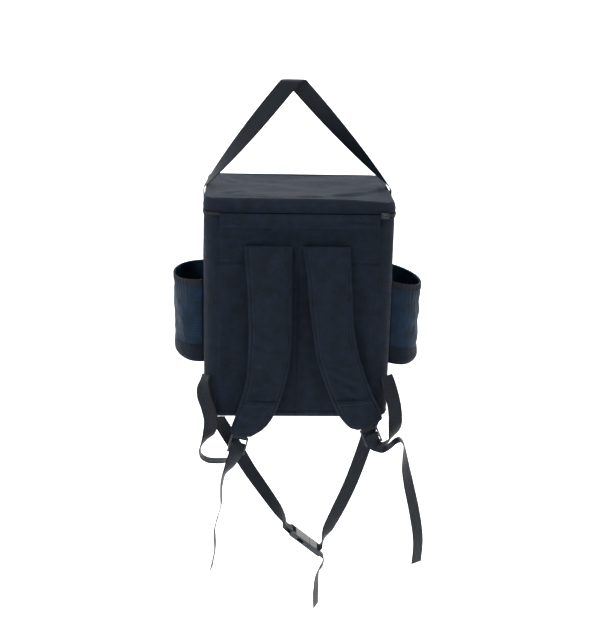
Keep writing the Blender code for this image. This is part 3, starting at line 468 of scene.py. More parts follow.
def turn_out(mesh):
    """Turns the faces of a closed mesh outward if its volume, summed over its triangles, comes out negative."""
    mesh.calc_loop_triangles()
    points = np.empty(len(mesh.vertices) * 3)
    mesh.vertices.foreach_get("co", points)
    triangles = np.empty(len(mesh.loop_triangles) * 3, np.int32)
    mesh.loop_triangles.foreach_get("vertices", triangles)
    corners = points.reshape(-1, 3)[triangles.reshape(-1, 3)]
    if np.linalg.det(corners).sum() < 0:
        mesh.flip_normals()


def arc_uv(grid):
    """A UV map in metres: the run along the middle column for v and along each row for u, from its middle."""
    across = np.linalg.norm(np.diff(grid, axis=1), axis=2)
    u = np.concatenate([np.zeros((len(grid), 1)), np.cumsum(across, axis=1)], axis=1)
    middle = grid[:, grid.shape[1] // 2]
    v = np.concatenate([[0], np.cumsum(np.linalg.norm(np.diff(middle, axis=0), axis=1))])
    return np.stack([u - u[:, -1:] / 2, np.broadcast_to(v[:, None], u.shape)], axis=2)


# Zip tape: woven polyester 10 mm wide over the seam, matt black with a fine rib.
tape, tree, shader = new_finish("Zip tape", {"Roughness": 0.8, "Specular IOR Level": 0.15})
place, first, second = projected(tree)
rib = threads(tree, second, 0.0016)
grain = add_node(tree, "TexNoise", links={"Vector": place, "Scale": 700.0})
height = add_node(tree, "Math", {"operation": "MULTIPLY_ADD"}, {0: rib, 1: 0.4, 2: grain.outputs[0]}).outputs[0]
tree.links.new(mottled(tree, place, 90.0, 0.3, 0.7, "06090E", "0B1119"), shader.inputs["Base Color"])
bump = add_node(tree, "Bump", links={"Height": height, "Distance": 0.0004, "Strength": 0.5})
tree.links.new(bump.outputs[0], shader.inputs["Normal"])

across = np.linspace(-0.5, 0.5, 9)
swell = 0.0006 * np.exp(-((np.abs(across) - 0.16) / 0.10) ** 2)
outer, _ = zip_line(GAP + 0.0006, 420)
normal = np.gradient(outer, axis=0)
normal = np.stack([normal[:, 1], -normal[:, 0]], axis=1) / np.linalg.norm(normal, axis=1, keepdims=True)
wavy = 0.00035 * np.sin(np.linspace(0, 260, 420))[:, None] * across[None] * 2
height_line = ZIP_MIDDLE + ZIP_HEIGHT * across
front = np.concatenate([
    outer[:, None] + normal[:, None] * (swell + wavy)[..., None],
    np.broadcast_to(height_line[None, :, None], (420, 9, 1)),
], axis=2)
back = front.copy()
back[..., :2] -= normal[:, None] * (0.0006 + swell + wavy)[..., None]
skin("zip_tape", front, back, tape, ["zip"])

# Coil: one nylon element for each 2.4 mm of the closed zip, a rounded bar across the middle of the tape.
nylon, _, _ = new_finish("Moulded nylon coil", {
    "Base Color": (*linear("0D1218"), 1), "Roughness": 0.42, "IOR": 1.53,
})


def repeated(name, centres, frames, shape, faces, finish):
    """Many copies of one small closed shape, each turned by its own three directions and put at its own place."""
    points = centres[:, None] + np.einsum("pk,nkd->npd", shape, frames)
    step = len(shape)
    every = [[int(i) + n * step for i in face] for n in range(len(centres)) for face in faces]
    made = add_mesh(name, points, every, finish)
    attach(made, "root")
    return made


def bead_shape(length, width, height):
    """A low rounded bar: an eight-point loop at its middle drawn in to a small loop at each end."""
    turn = np.linspace(0, 2 * math.pi, 6, endpoint=False)
    loop = np.stack([0 * turn, np.cos(turn) * width / 2, np.sin(turn) * height / 2], axis=1)
    rows = [loop * (1, k, k) + (length * e, 0, 0) for e, k in ((-0.5, 0.45), (-0.3, 1), (0.3, 1), (0.5, 0.45))]
    faces = grid_faces(4, 6, closed=True).tolist()
    return np.concatenate(rows), [*faces, list(range(6)), list(range(23, 17, -1))]


run, zip_length = zip_line(GAP + 0.0012, 500)
teeth = int(zip_length / 0.0024)
at = np.linspace(0, 1, teeth)
even = np.linspace(0, 1, 500)
spot = np.stack([np.interp(at, even, run[:, 0]), np.interp(at, even, run[:, 1]), np.full(teeth, ZIP_MIDDLE)], axis=1)
along = np.gradient(spot, axis=0)
along /= np.linalg.norm(along, axis=1, keepdims=True)
square = np.stack([along[:, 1], -along[:, 0], 0 * at], axis=1)
shape, faces = bead_shape(0.0046, 0.0015, 0.0012)
frames = np.stack([np.broadcast_to([0.0, 0.0, 1.0], along.shape), along, square], axis=1)
repeated("zip_coil", spot, frames, shape, faces, nylon)

# Slider. Painted zinc, parked at the right end of the zip on the wearer's side.
zinc, tree, shader = new_finish("Painted zinc", {"Metallic": 0.35, "Roughness": 0.38})
place = add_node(tree, "TexCoord").outputs["Object"]
tree.links.new(mottled(tree, place, 300.0, 0.4, 0.75, "12171D", "2A323B"), shader.inputs["Base Color"])


def block_piece(name, cuts, filled, place_at, finish, nodes=(), bevel=0.0006, segments=2):
    """A closed piece from the filled cells of a box cut by planes in three directions, with rounded edges."""
    counts = [len(cut) - 1 for cut in cuts]
    full = {cell for cell in np.ndindex(*counts) if filled(*cell)}
    index, faces = {}, []
    for cell in sorted(full):
        for axis in range(3):
            for way in (1, -1):
                beside = tuple(cell[k] + way * (k == axis) for k in range(3))
                if beside in full:
                    continue
                others = [k for k in range(3) if k != axis]
                face = []
                for da, db in ((0, 0), (1, 0), (1, 1), (0, 1)):
                    corner = [0, 0, 0]
                    corner[axis] = cell[axis] + (way > 0)
                    corner[others[0]] = cell[others[0]] + da
                    corner[others[1]] = cell[others[1]] + db
                    face.append(index.setdefault(tuple(corner), len(index)))
                faces.append(face if (way > 0) == (axis != 1) else face[::-1])
    points = [place_at(*(cuts[k][corner[k]] for k in range(3))) for corner in index]
    made = add_mesh(name, points, faces, finish)
    turn_out(made.data)
    if bevel:
        round_off = made.modifiers.new("rounded edges", "BEVEL")
        round_off.width = bevel
        round_off.segments = segments
        round_off.limit_method = "ANGLE"
        round_off.harden_normals = False
    made.data.set_sharp_from_angle(angle=math.radians(50))
    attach(made, "root")
    if nodes:
        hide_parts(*nodes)
    return made


slider_x = WIDTH / 2 - ZIP_ON_FACE + 0.0073 + SHIFT
slider_y = -DEPTH / 2 - 2 * GAP - ZIP_THICK
block_piece(
    "zip_slider_body",
    ((-0.0070, -0.0040, 0.0035, 0.0070), (-0.0040, -0.0020, 0.0), (-0.0050, -0.0022, 0.0022, 0.0050)),
    lambda i, j, k: j == 1 or (i == 1 and k == 1),
    lambda a, b, c: (slider_x + a, slider_y + b, ZIP_MIDDLE + c * (1.0 - 25 * max(a, 0))),
    zinc, ["zip_slider"],
)

# Hinge band. A strip of the same cloth, sewn under the lid on the wearer's side between the zip's ends. It bows
# out a little and is puckered where the zip ends press on it.
HINGE_HEIGHT = 0.025
HINGE_FOLDS = (
    (-0.118, -0.224, 168, 0.016, 0.0028, 0.0016),
    (-0.110, -0.232, 158, 0.014, 0.0028, 0.0012),
    (0.105, -0.222, 178, 0.024, 0.0026, 0.0015),
    (0.110, -0.231, 176, 0.022, 0.0026, 0.0015),
    (0.000, -0.230, 2, 0.080, 0.0060, 0.0006),
)


def near_face(x, z):
    """How far toward the wearer the panel reaches at a place, as y, where x counts from the bag's middle."""
    h = np.clip((z - BASE) / BODY_HEIGHT, 0, 1)
    return -(DEPTH / 2 + SWELLS[0] * 4 * h * (1 - h) * (1 - np.clip(np.abs(x) / HALF_X, 0, 1) ** 2))


half = WIDTH / 2 - ZIP_ON_FACE - GAP
x, part = np.meshgrid(np.linspace(-half, half, 220), np.linspace(0, 1, 30))
z = LID_BOTTOM - GAP - part * (HINGE_HEIGHT - GAP + 0.0015 * np.sin(math.pi * (x / half + 1) / 2))
bow = 0.0036 * np.sin(math.pi * part) ** 0.7 + crease(x, z, HINGE_FOLDS) * np.sin(math.pi * part)
bow = bow + 0.0004 * ripple(x, z, 0.05, 21) * np.sin(math.pi * part) + 0.0009
bow = bow + 0.0006 * groove(part - 0.9, 0.05) * (part < 0.99)
surface = near_face(x, z) - GAP
front = np.stack([x + SHIFT, surface - bow, z], axis=2)
back = np.stack([x + SHIFT, surface + 0 * bow, z], axis=2)
hinge = skin("hinge_strip", front, back, oxford, ["hinge_band"])

# Side pockets. Knitted mesh on a foot of the bag's cloth, sewn to the side walls, with an elastic binding along
# the open top. The elastic gathers the mesh, and the right pocket sags further than the left one.
POCKET_HALF, POCKET_RADIUS, POCKET_CLOTH = 0.072, 0.014, 0.0012
POCKET_FLOOR, POCKET_HEIGHT = -0.187 - 0.156 - 0.152, 0.152
FOOT_HEIGHT, RIM_HEIGHT = 0.030, 0.011


def side_face(y, z):
    """How far out the side wall reaches at a place."""
    h = np.clip((z - BASE) / BODY_HEIGHT, 0, 1)
    return WIDTH / 2 + SWELLS[1] * 4 * h * (1 - h) * (1 - (y / HALF_Y) ** 2)


def pocket_points(side, reach, droop, start, end, rows, columns, lift, seed=0):
    """Part of a pocket's cloth. Its plan is a rounded D, its floor flat, and a quarter round leads up to its wall.

    start and end are distances up the cloth from the floor's edge at the wall. Gathers grow toward the rim.
    """
    flat, turn = reach - POCKET_RADIUS, POCKET_RADIUS * math.pi / 2
    along = np.linspace(start, end, rows)[:, None]
    t = np.linspace(-math.pi / 2, math.pi / 2, columns)[None]
    bow = 0.008 + 0.992 * np.maximum(np.cos(t), 0) ** 0.7
    a = np.clip((along - flat) / POCKET_RADIUS, 0, math.pi / 2)
    out = np.minimum(along, flat) + (POCKET_RADIUS + lift) * np.sin(a)
    z = POCKET_FLOOR + POCKET_RADIUS - (POCKET_RADIUS + lift) * np.cos(a) + np.maximum(along - flat - turn, 0)
    y = (POCKET_HALF + lift) * np.sin(t)
    up_share = np.clip((z - POCKET_FLOOR) / POCKET_HEIGHT, 0, 1)
    gather = 0.0008 * np.sin(t * 46 + 1.3 * np.sin(t * 7 + seed)) * smooth_step(up_share, 0.55, 1.0)
    folds = 0.0022 * ripple(t * 0.06, z, 0.07, 30 + seed) * np.sin(math.pi * np.clip(up_share, 0, 1)) ** 0.5
    edge = smooth_step(np.cos(t), 0.05, 0.5)
    x = side_face(y, z) + GAP + out * bow + (gather + folds) * edge * (a > 0.3)
    shape = np.broadcast_shapes(x.shape, y.shape, z.shape)
    z = z - droop * bow * out / reach
    parts = [side * x + SHIFT, side * y, z]
    return np.stack([np.broadcast_to(p, shape) for p in parts], axis=2)


# Knitted mesh: polyester in small hexagon holes 3 mm apart. It looks deep blue, with a speckle of holes painted
# near black as painted shade of the pocket's inside, and a soft shine on its threads.
net, tree, shader = new_finish("Knitted polyester mesh", {
    "Roughness": 0.6, "Specular IOR Level": 0.15, "Sheen Weight": 0.04, "Sheen Tint": (*linear("5C86A8"), 1),
})
uv = add_node(tree, "UVMap", {"uv_map": "cloth"}).outputs[0]
spots = add_node(tree, "TexVoronoi", {"feature": "F1"}, {"Vector": uv, "Scale": 330.0, "Randomness": 0.15})
hole = add_node(tree, "MapRange", links={"Value": spots.outputs["Distance"], "From Min": 0.22, "From Max": 0.42})
place = add_node(tree, "TexCoord").outputs["Object"]
thread_colour = mottled(tree, place, 40.0, 0.35, 0.7, "061B2D", "0B2A44")
# Painted shade: the holes take a near-black colour for the shaded inside of the pocket seen through them.
colour = add_node(tree, "Mix", {"data_type": "RGBA"}, {0: hole.outputs[0], 6: (*linear("020509"), 1), 7: thread_colour})
tree.links.new(colour.outputs[2], shader.inputs["Base Color"])
bump = add_node(tree, "Bump", links={"Height": hole.outputs[0], "Distance": 0.0006, "Strength": 0.8})
tree.links.new(bump.outputs[0], shader.inputs["Normal"])

# Elastic binding: knitted polyester over rubber, folded over the raw edge, ribbed along its length.
elastic, tree, shader = new_finish("Elastic binding", {"Roughness": 0.7, "Specular IOR Level": 0.2})
uv = add_node(tree, "SeparateXYZ", links={"Vector": add_node(tree, "UVMap", {"uv_map": "cloth"}).outputs[0]})
rib = threads(tree, uv.outputs[1], 0.0022)
place = add_node(tree, "TexCoord").outputs["Object"]
tree.links.new(mottled(tree, place, 120.0, 0.3, 0.7, "070D14", "0E1722"), shader.inputs["Base Color"])
bump = add_node(tree, "Bump", links={"Height": rib, "Distance": 0.0004, "Strength": 0.5})
tree.links.new(bump.outputs[0], shader.inputs["Normal"])

for side, name, reach, droop in ((-1, "left", 0.053, 0.003), (1, "right", 0.060, 0.015)):
    flat = reach - POCKET_RADIUS + POCKET_RADIUS * math.pi / 2
    foot_end = flat + FOOT_HEIGHT - POCKET_RADIUS
    full = flat + POCKET_HEIGHT - POCKET_RADIUS
    shape = (side, reach, droop)
    for piece, start, end, rows, lift, finish, slot in (
        ("pocket_foot_" + name, 0.0, foot_end + 0.002, 40, POCKET_CLOTH * 0.25, oxford, "woven"),
        ("pocket_" + name, foot_end - 0.002, full - 0.001, 70, 0.0, net, "mesh"),
        ("pocket_rim_" + name, full - RIM_HEIGHT, full, 12, POCKET_CLOTH + GAP, elastic, "woven"),
    ):
        front = pocket_points(*shape, start, end, rows, 120, lift + POCKET_CLOTH, seed=side + 2)
        back = pocket_points(*shape, start, end, rows, 120, lift, seed=side + 2)
        made = skin(piece + "_cloth", front, back, finish, [piece], arc_uv(front))

# Shoulder pads. Foam in the bag's cloth with a bound edge, each cut as one long curved strap whose lower end turns
# outward. Their tops are sewn into the back panel, and the cloth over the foam wrinkles where the pad bends.
PAD_WIDTH, PAD_LENGTH, PAD_THICK, PAD_EDGE = 0.083, 0.350, 0.013, 0.004
PAD_APART, PAD_SHIFT, PAD_DROP, PAD_BOW = 0.017, -0.0035, 0.0535, 0.010
PATCH_THICK = 0.0012
# One row for each line across a pad. The first four columns are how far down its outer end lies and how far out,
# then the same for its inner end, as shares of the pad's length and width.
OUTER_DOWN, OUTER_OUT, INNER_DOWN, INNER_OUT, STAND_OFF, THICKNESS = range(6)
PAD_LEFT = (
    (0.000, 0.500, 0.000, -0.500, 0.05, 0.55),
    (0.060, 0.485, 0.060, -0.503, 0.10, 0.95),
    (0.140, 0.452, 0.140, -0.506, 0.40, 1.00),
    (0.280, 0.416, 0.280, -0.512, 0.90, 1.00),
    (0.420, 0.390, 0.420, -0.520, 1.00, 1.00),
    (0.550, 0.404, 0.550, -0.500, 1.00, 1.00),
    (0.680, 0.436, 0.680, -0.420, 1.00, 1.00),
    (0.790, 0.545, 0.795, -0.289, 0.95, 1.00),
    (0.885, 0.670, 0.895, -0.120, 0.90, 0.95),
    (0.930, 0.735, 0.955, 0.078, 0.85, 0.85),
    (0.966, 0.775, 0.993, 0.318, 0.80, 0.70),
)
PAD_RIGHT = (
    (0.000, 0.500, 0.000, -0.500, 0.05, 0.55),
    (0.060, 0.515, 0.060, -0.458, 0.10, 0.95),
    (0.140, 0.533, 0.140, -0.400, 0.40, 1.00),
    (0.280, 0.570, 0.280, -0.342, 0.90, 1.00),
    (0.420, 0.625, 0.420, -0.258, 1.00, 1.00),
    (0.550, 0.745, 0.550, -0.175, 1.00, 1.00),
    (0.680, 0.930, 0.680, 0.000, 1.00, 1.00),
    (0.775, 1.095, 0.790, 0.180, 0.95, 1.00),
    (0.845, 1.240, 0.888, 0.392, 0.90, 0.95),
    (0.890, 1.290, 0.938, 0.580, 0.85, 0.85),
    (0.908, 1.200, 0.954, 0.745, 0.80, 0.70),
)


def unit(vectors):
    """The same directions at length one."""
    return vectors / np.linalg.norm(vectors, axis=-1, keepdims=True)


def smooth_rows(rows, steps):
    """A centripetal Catmull-Rom curve through a table's rows, with steps points from each row to the next."""
    table = np.array(rows, float)
    ends = np.vstack([2 * table[0] - table[1], table, 2 * table[-1] - table[-2]])
    apart = np.linalg.norm(np.diff(ends[:, :3], axis=0), axis=1)
    knots = np.concatenate([[0], np.cumsum(np.sqrt(apart))])
    made = []
    for k in range(len(table) - 1):
        t0, t1, t2, t3 = knots[k : k + 4]
        p0, p1, p2, p3 = ends[k : k + 4]
        for t in t1 + (t2 - t1) * np.arange(steps) / steps:
            a1 = ((t1 - t) * p0 + (t - t0) * p1) / (t1 - t0)
            a2 = ((t2 - t) * p1 + (t - t1) * p2) / (t2 - t1)
            a3 = ((t3 - t) * p2 + (t - t2) * p3) / (t3 - t2)
            b1 = ((t2 - t) * a1 + (t - t0) * a2) / (t2 - t0)
            b2 = ((t3 - t) * a2 + (t - t1) * a3) / (t3 - t1)
            made.append(((t2 - t) * b1 + (t - t1) * b2) / (t2 - t1))
    made.append(table[-1])
    return np.array(made)


def pad_rows(side, table, steps):
    """Rows across a pad: its outer end, inner end, stand-off from the panel and thickness."""
    rows = smooth_rows(table, steps)
    middle = side * (PAD_APART + PAD_WIDTH) / 2 + PAD_SHIFT
    top = BODY_TOP - PAD_DROP
    outer = (middle + side * rows[:, OUTER_OUT] * PAD_WIDTH, top - rows[:, OUTER_DOWN] * PAD_LENGTH)
    inner = (middle + side * rows[:, INNER_OUT] * PAD_WIDTH, top - rows[:, INNER_DOWN] * PAD_LENGTH)
    return np.column_stack(outer), np.column_stack(inner), rows[:, STAND_OFF] * PAD_BOW, rows[:, THICKNESS] * PAD_THICK


def grid_normals(grid):
    """The direction square to a grid at each point: along its columns, crossed with down its rows."""
    return unit(np.cross(np.gradient(grid, axis=1), np.gradient(grid, axis=0)))


def along_path(points, spacing):
    """Points at even spacing along a path of points, with the way ahead at each of them."""
    length = np.concatenate([[0], np.cumsum(np.linalg.norm(np.diff(points, axis=0), axis=1))])
    at = np.arange(spacing / 2, length[-1], spacing)
    spots = np.stack([np.interp(at, length, points[:, k]) for k in range(3)], axis=1)
    return spots, unit(np.gradient(spots, axis=0))


# Sewing thread: bonded nylon, a little lighter than the cloth and glossier. The real thread is 0.4 mm thick; it is
# drawn 0.8 mm thick, so that the rows of stitches show.
thread, _, _ = new_finish("Bonded sewing thread", {
    "Base Color": (*linear("1D2834"), 1), "Roughness": 0.5, "Specular IOR Level": 0.3,
})
STITCH, STITCH_PITCH, STITCH_THICK = 0.0026, 0.0036, 0.0008


def stitches(name, paths):
    """Rows of stitches: one small bar for each pitch along each path, which comes with its outward directions."""
    spots, frames = [], []
    for points, outward in paths:
        centre, ahead = along_path(points + outward * STITCH_THICK * 0.25, STITCH_PITCH)
        nearest = [int(np.argmin(np.sum((points - spot) ** 2, axis=1))) for spot in centre]
        across = unit(np.cross(outward[nearest], ahead))
        spots.append(centre)
        frames.append(np.stack([ahead, across, np.cross(ahead, across)], axis=1))
    shape, faces = bead_shape(STITCH, STITCH_THICK, STITCH_THICK)
    return repeated(name, np.concatenate(spots), np.concatenate(frames), shape, faces, thread)


PAD_FOLDS = {
    -1: (
        (-0.075, -0.520, 24, 0.030, 0.0060, 0.0014),
        (-0.060, -0.545, 30, 0.028, 0.0055, 0.0012),
        (-0.050, -0.440, 70, 0.050, 0.0120, 0.0010),
        (-0.088, -0.575, 38, 0.020, 0.0050, 0.0009),
        (-0.040, -0.330, 84, 0.060, 0.0150, 0.0008),
    ),
    1: (
        (0.085, -0.500, -28, 0.030, 0.0060, 0.0014),
        (0.068, -0.470, -36, 0.028, 0.0060, 0.0010),
        (0.100, -0.530, -34, 0.026, 0.0055, 0.0012),
        (0.055, -0.400, 105, 0.050, 0.0120, 0.0010),
        (0.045, -0.330, 96, 0.060, 0.0150, 0.0008),
    ),
}
PAD_STEPS, PAD_COLUMNS = 18, 49
EDGE_SEAM = 0.10


def dressed_pad(side, table):
    """A pad's front and back. The front is domed, dips at the seam of its bound edge and carries the folds."""
    outer, inner, stand_off, thickness = pad_rows(side, table, PAD_STEPS)
    share = np.linspace(0, 1, PAD_COLUMNS)
    flat = outer[:, None] * (1 - share[None, :, None]) + inner[:, None] * share[None, :, None]
    edge = np.abs(2 * share - 1)
    dome = 1 - edge**4
    x, z = flat[..., 0], flat[..., 1]
    back = near_face(x, z) - GAP - stand_off[:, None] - 0.2 * PAD_EDGE * (1 - dome)
    front = back - PAD_EDGE - (thickness[:, None] - PAD_EDGE) * dome
    seam = 0.0018 * groove((1 - edge) / 2 - EDGE_SEAM, 0.022) * (edge < 0.999)
    inside = smooth_step(1 - edge, 0.02, 0.3)
    folds = 1.6 * crease(x, z, PAD_FOLDS[side]) + 0.0006 * ripple(x, z, 0.06, 40 + side)
    front = front - seam[None] - folds * inside[None]
    ends = [np.stack([x + SHIFT, y, z], axis=2) for y in (front, back)]
    return ends


for side, name, table in ((-1, "left", PAD_LEFT), (1, "right", PAD_RIGHT)):
    front, back = dressed_pad(side, table)
    pad = skin("pad_cover_" + name, front, back, oxford, ["pad_" + name])
    first = 7 * PAD_STEPS
    low = front[first:, 3:-3] + (0, -2 * GAP, 0)
    patch = skin("pad_patch_cloth_" + name, low - (0, PATCH_THICK, 0), low, oxford, ["pad_patch_" + name])
    outward = -np.abs(grid_normals(front)[..., 1:2]) * (0, 1, 0)
    rows = []
    for column in (5, PAD_COLUMNS - 6):
        rows.append((front[: first + 1, column], outward[: first + 1, column]))
    patch_face = low - (0, PATCH_THICK, 0)
    patch_out = outward[first:, 3:-3]
    rows.append((patch_face[4, 2:-2], patch_out[4, 2:-2]))
    rows.append((patch_face[4:-3, 2], patch_out[4:-3, 2]))
    rows.append((patch_face[4:-3, -3], patch_out[4:-3, -3]))
    stitches("pad_stitches_" + name, rows)

# Ladder locks. Moulded acetal, matt from a sparked mould, with worn, shinier edges. Each hangs in a loop of
# webbing from its pad's lower end.
acetal, tree, shader = new_finish("Moulded black acetal", {"IOR": 1.48, "Specular IOR Level": 0.5})
place = add_node(tree, "TexCoord").outputs["Object"]
tree.links.new(mottled(tree, place, 180.0, 0.35, 0.7, "11181F", "1C2731"), shader.inputs["Base Color"])
spark = add_node(tree, "TexNoise", links={"Vector": place, "Scale": 1600.0, "Detail": 2.0})
worn = add_node(tree, "MapRange", links={"Value": spark.outputs[0], "To Min": 0.26, "To Max": 0.44})
tree.links.new(worn.outputs[0], shader.inputs["Roughness"])
bump = add_node(tree, "Bump", links={"Height": spark.outputs[0], "Distance": 0.0001, "Strength": 0.4})
tree.links.new(bump.outputs[0], shader.inputs["Normal"])

WEB_WIDTH, WEB_THICK = 0.025, 0.0016
LOCK_WIDTH, LOCK_RAIL, LOCK_DEPTH, LOCK_BAR = 0.032, 0.0030, 0.005, 0.003
LOCK_UPPER, LOCK_LOWER, LOCK_REACH = 0.0145, 0.0140, 0.020
LOCK_STAND, LOCK_LEAVE = 0.0075, 0.0095
TURN = WEB_THICK / 2 + GAP + LOCK_BAR * 0.72


def lock_frame(side, table):
    """A ladder lock's middle bar, its way across and its way up, from the pad's lower end."""
    outer, inner, stand_off, thickness = pad_rows(side, table, 1)
    ends = sorted((outer[-1], inner[-1]), key=lambda end: end[0])
    across = unit(ends[1] - ends[0])
    upward = np.array([-across[1], across[0]])
    middle = (ends[0] + ends[1]) / 2 - upward * LOCK_REACH
    y = -DEPTH / 2 - GAP - stand_off[-1] - PAD_EDGE / 2 - thickness[-1] / 4
    origin = np.array([middle[0], y, middle[1]])
    return origin, np.array([across[0], 0, across[1]]), np.array([upward[0], 0, upward[1]])


def in_lock(lock, across, out, upward):
    """A point given in a lock's own directions: across it, out toward the viewer and up."""
    return lock[0] + lock[1] * across + np.array([0, -1, 0]) * out + lock[2] * upward


def hung(point):
    """A point counted from the bag's middle, moved to the shared frame."""
    return np.asarray(point) + (SHIFT, 0, 0)


half, bar, deep = LOCK_WIDTH / 2, LOCK_BAR / 2, LOCK_DEPTH / 2
lock_cuts = (
    (-half, -half + LOCK_RAIL, half - LOCK_RAIL, half),
    (-deep, -bar, bar, deep),
    (-LOCK_LOWER - 2 * bar, -LOCK_LOWER, -bar, bar, LOCK_UPPER - bar, LOCK_UPPER + bar),
)
LOCKS = {side: lock_frame(side, table) for side, table in ((-1, PAD_LEFT), (1, PAD_RIGHT))}
for side, name in ((-1, "left"), (1, "right")):
    block_piece(
        "ladder_lock_" + name, lock_cuts, lambda i, j, k: i != 1 or (j == 1 and k in (0, 2, 4)),
        lambda a, b, c: hung(in_lock(LOCKS[side], a, b, c)), acetal, ["lock_" + name], bevel=0.0007,
    )

# Webbing. Flat woven polyester 25 mm wide and 1.6 mm thick, with ribs along its length and a rolled edge. It
# looks almost black, with a faint sheen, a painted highlight along the ribs and painted shade between them.
ribbed, tree, shader = new_finish("Polyester webbing", {
    "Roughness": 0.5, "Specular IOR Level": 0.2, "Sheen Weight": 0.04, "Sheen Roughness": 0.35,
    "Sheen Tint": (*linear("6F8AA5"), 1),
})
uv = add_node(tree, "SeparateXYZ", links={"Vector": add_node(tree, "UVMap", {"uv_map": "cloth"}).outputs[0]})
rib, pick = threads(tree, uv.outputs[0], 0.0036), threads(tree, uv.outputs[1], 0.0018)
weave = add_node(tree, "Math", {"operation": "MULTIPLY_ADD"}, {0: pick, 1: 0.35, 2: rib}).outputs[0]
place = add_node(tree, "TexCoord").outputs["Object"]
base = mottled(tree, place, 70.0, 0.3, 0.7, "050B13", "0A131E")
# Painted highlight and shade: the colour is lighter on the ribs and picks and darker between them.
relief_shade = add_node(tree, "MapRange", links={"Value": weave, "From Min": -1.2, "From Max": 1.2, "To Min": 0.7, "To Max": 1.3})
relief_shaded_colour = add_node(tree, "Mix", {"data_type": "RGBA", "blend_type": "MULTIPLY"}, {0: 1.0, 6: base})
tree.links.new(relief_shade.outputs[0], relief_shaded_colour.inputs[7])
tree.links.new(relief_shaded_colour.outputs[2], shader.inputs["Base Color"])
bump = add_node(tree, "Bump", links={"Height": weave, "Distance": 0.0004, "Strength": 0.6})
tree.links.new(bump.outputs[0], shader.inputs["Normal"])


def strap_sheet(name, grid, node):
    """A strap of webbing round a grid of points, half its thickness to each side and thinner at its edges."""
    share = np.abs(np.linspace(-1, 1, grid.shape[1]))
    thick = WEB_THICK / 2 * (1 - 0.45 * share**6)
    normals = grid_normals(grid)
    front, back = grid + normals * thick[None, :, None], grid - normals * thick[None, :, None]
    return skin(name, front, back, ribbed, [node], arc_uv(grid))


def routed(name, route, steps, node):
    """A strap along a route whose rows hold a point and the way that the strap's width points there."""
    rows = np.array(route, float)
    centre = smooth_rows(rows, steps)[:, :3]
    at = np.arange(len(centre)) / steps
    across = np.stack([np.interp(at, np.arange(len(rows)), rows[:, k]) for k in (3, 4, 5)], axis=1)
    ahead = unit(np.gradient(centre, axis=0))
    across = unit(across - ahead * np.sum(across * ahead, axis=1, keepdims=True))
    spread = np.linspace(-WEB_WIDTH / 2, WEB_WIDTH / 2, 11)
    grid = hung(centre)[:, None] + across[:, None] * spread[None, :, None]
    return strap_sheet(name, grid, node)


def turn_points(centre, start, end, count):
    """Points on an arc round a bar, as out and up, from one angle to another in degrees."""
    for angle in np.radians(np.linspace(start, end, count)):
        yield TURN * math.cos(angle), centre + TURN * math.sin(angle)


# Each row is one point, as shares of the piece's own length, and the way that the webbing's width points there.
TAIL_LEFT_ROUTE = (
    (-0.059, -0.016, -0.164, 0.75, 0.62, -0.10),
    (-0.103, -0.004, -0.253, 0.30, 0.95, 0.00),
    (-0.119, 0.004, -0.366, 0.12, 0.99, 0.00),
    (-0.119, 0.006, -0.476, 0.10, 0.99, 0.00),
    (-0.148, 0.006, -0.593, 0.16, 0.99, 0.00),
    (-0.168, 0.004, -0.690, 0.10, 0.99, 0.00),
    (-0.164, 0.000, -0.828, 0.10, 0.99, 0.00),
    (-0.192, 0.000, -0.998, 0.20, 0.98, 0.00),
)
TAIL_RIGHT_ROUTE = (
    (0.044, -0.042, -0.067, 0.75, 0.60, 0.28),
    (0.087, -0.068, -0.075, 0.25, 0.95, 0.20),
    (0.131, -0.079, -0.044, 0.00, 1.00, 0.00),
    (0.167, -0.083, -0.008, 0.00, 1.00, 0.00),
    (0.198, -0.083, 0.002, 0.00, 1.00, 0.00),
    (0.222, -0.079, -0.028, 0.05, 0.99, 0.05),
    (0.234, -0.072, -0.107, 0.35, 0.93, 0.10),
    (0.250, -0.052, -0.218, 0.60, 0.78, 0.15),
    (0.278, -0.036, -0.345, 0.72, 0.66, 0.20),
    (0.341, -0.028, -0.611, 0.80, 0.60, 0.20),
    (0.373, -0.028, -0.813, 0.80, 0.60, 0.05),
    (0.369, -0.028, -0.992, 0.80, 0.60, 0.00),
)
LOOP_LEFT_ROUTE = (
    (-0.013, -0.013, 0.941, 0.60, -0.60, 0.50),
    (-0.046, -0.048, 0.835, 0.62, -0.50, 0.60),
    (-0.078, -0.102, 0.694, 0.72, -0.25, 0.62),
    (-0.054, -0.163, 0.506, 0.88, 0.00, 0.45),
    (0.030, -0.211, 0.271, 0.95, 0.00, 0.30),
    (0.090, -0.235, 0.000, 0.99, 0.05, 0.02),
    (0.054, -0.223, -0.277, 0.90, 0.40, -0.05),
    (-0.054, -0.199, -0.494, 0.45, 0.88, 0.00),
    (-0.139, -0.175, -0.687, 0.10, 0.99, 0.00),
    (-0.114, -0.151, -0.855, 0.00, 1.00, 0.00),
    (0.018, -0.127, -0.958, 0.00, 1.00, 0.00),
    (0.187, -0.102, -0.988, 0.00, 1.00, 0.00),
    (0.367, -0.088, -0.988, 0.10, 0.99, 0.00),
    (0.512, -0.072, -0.934, 0.35, 0.93, -0.10),
    (0.590, -0.069, -0.819, 0.75, 0.60, -0.25),
)
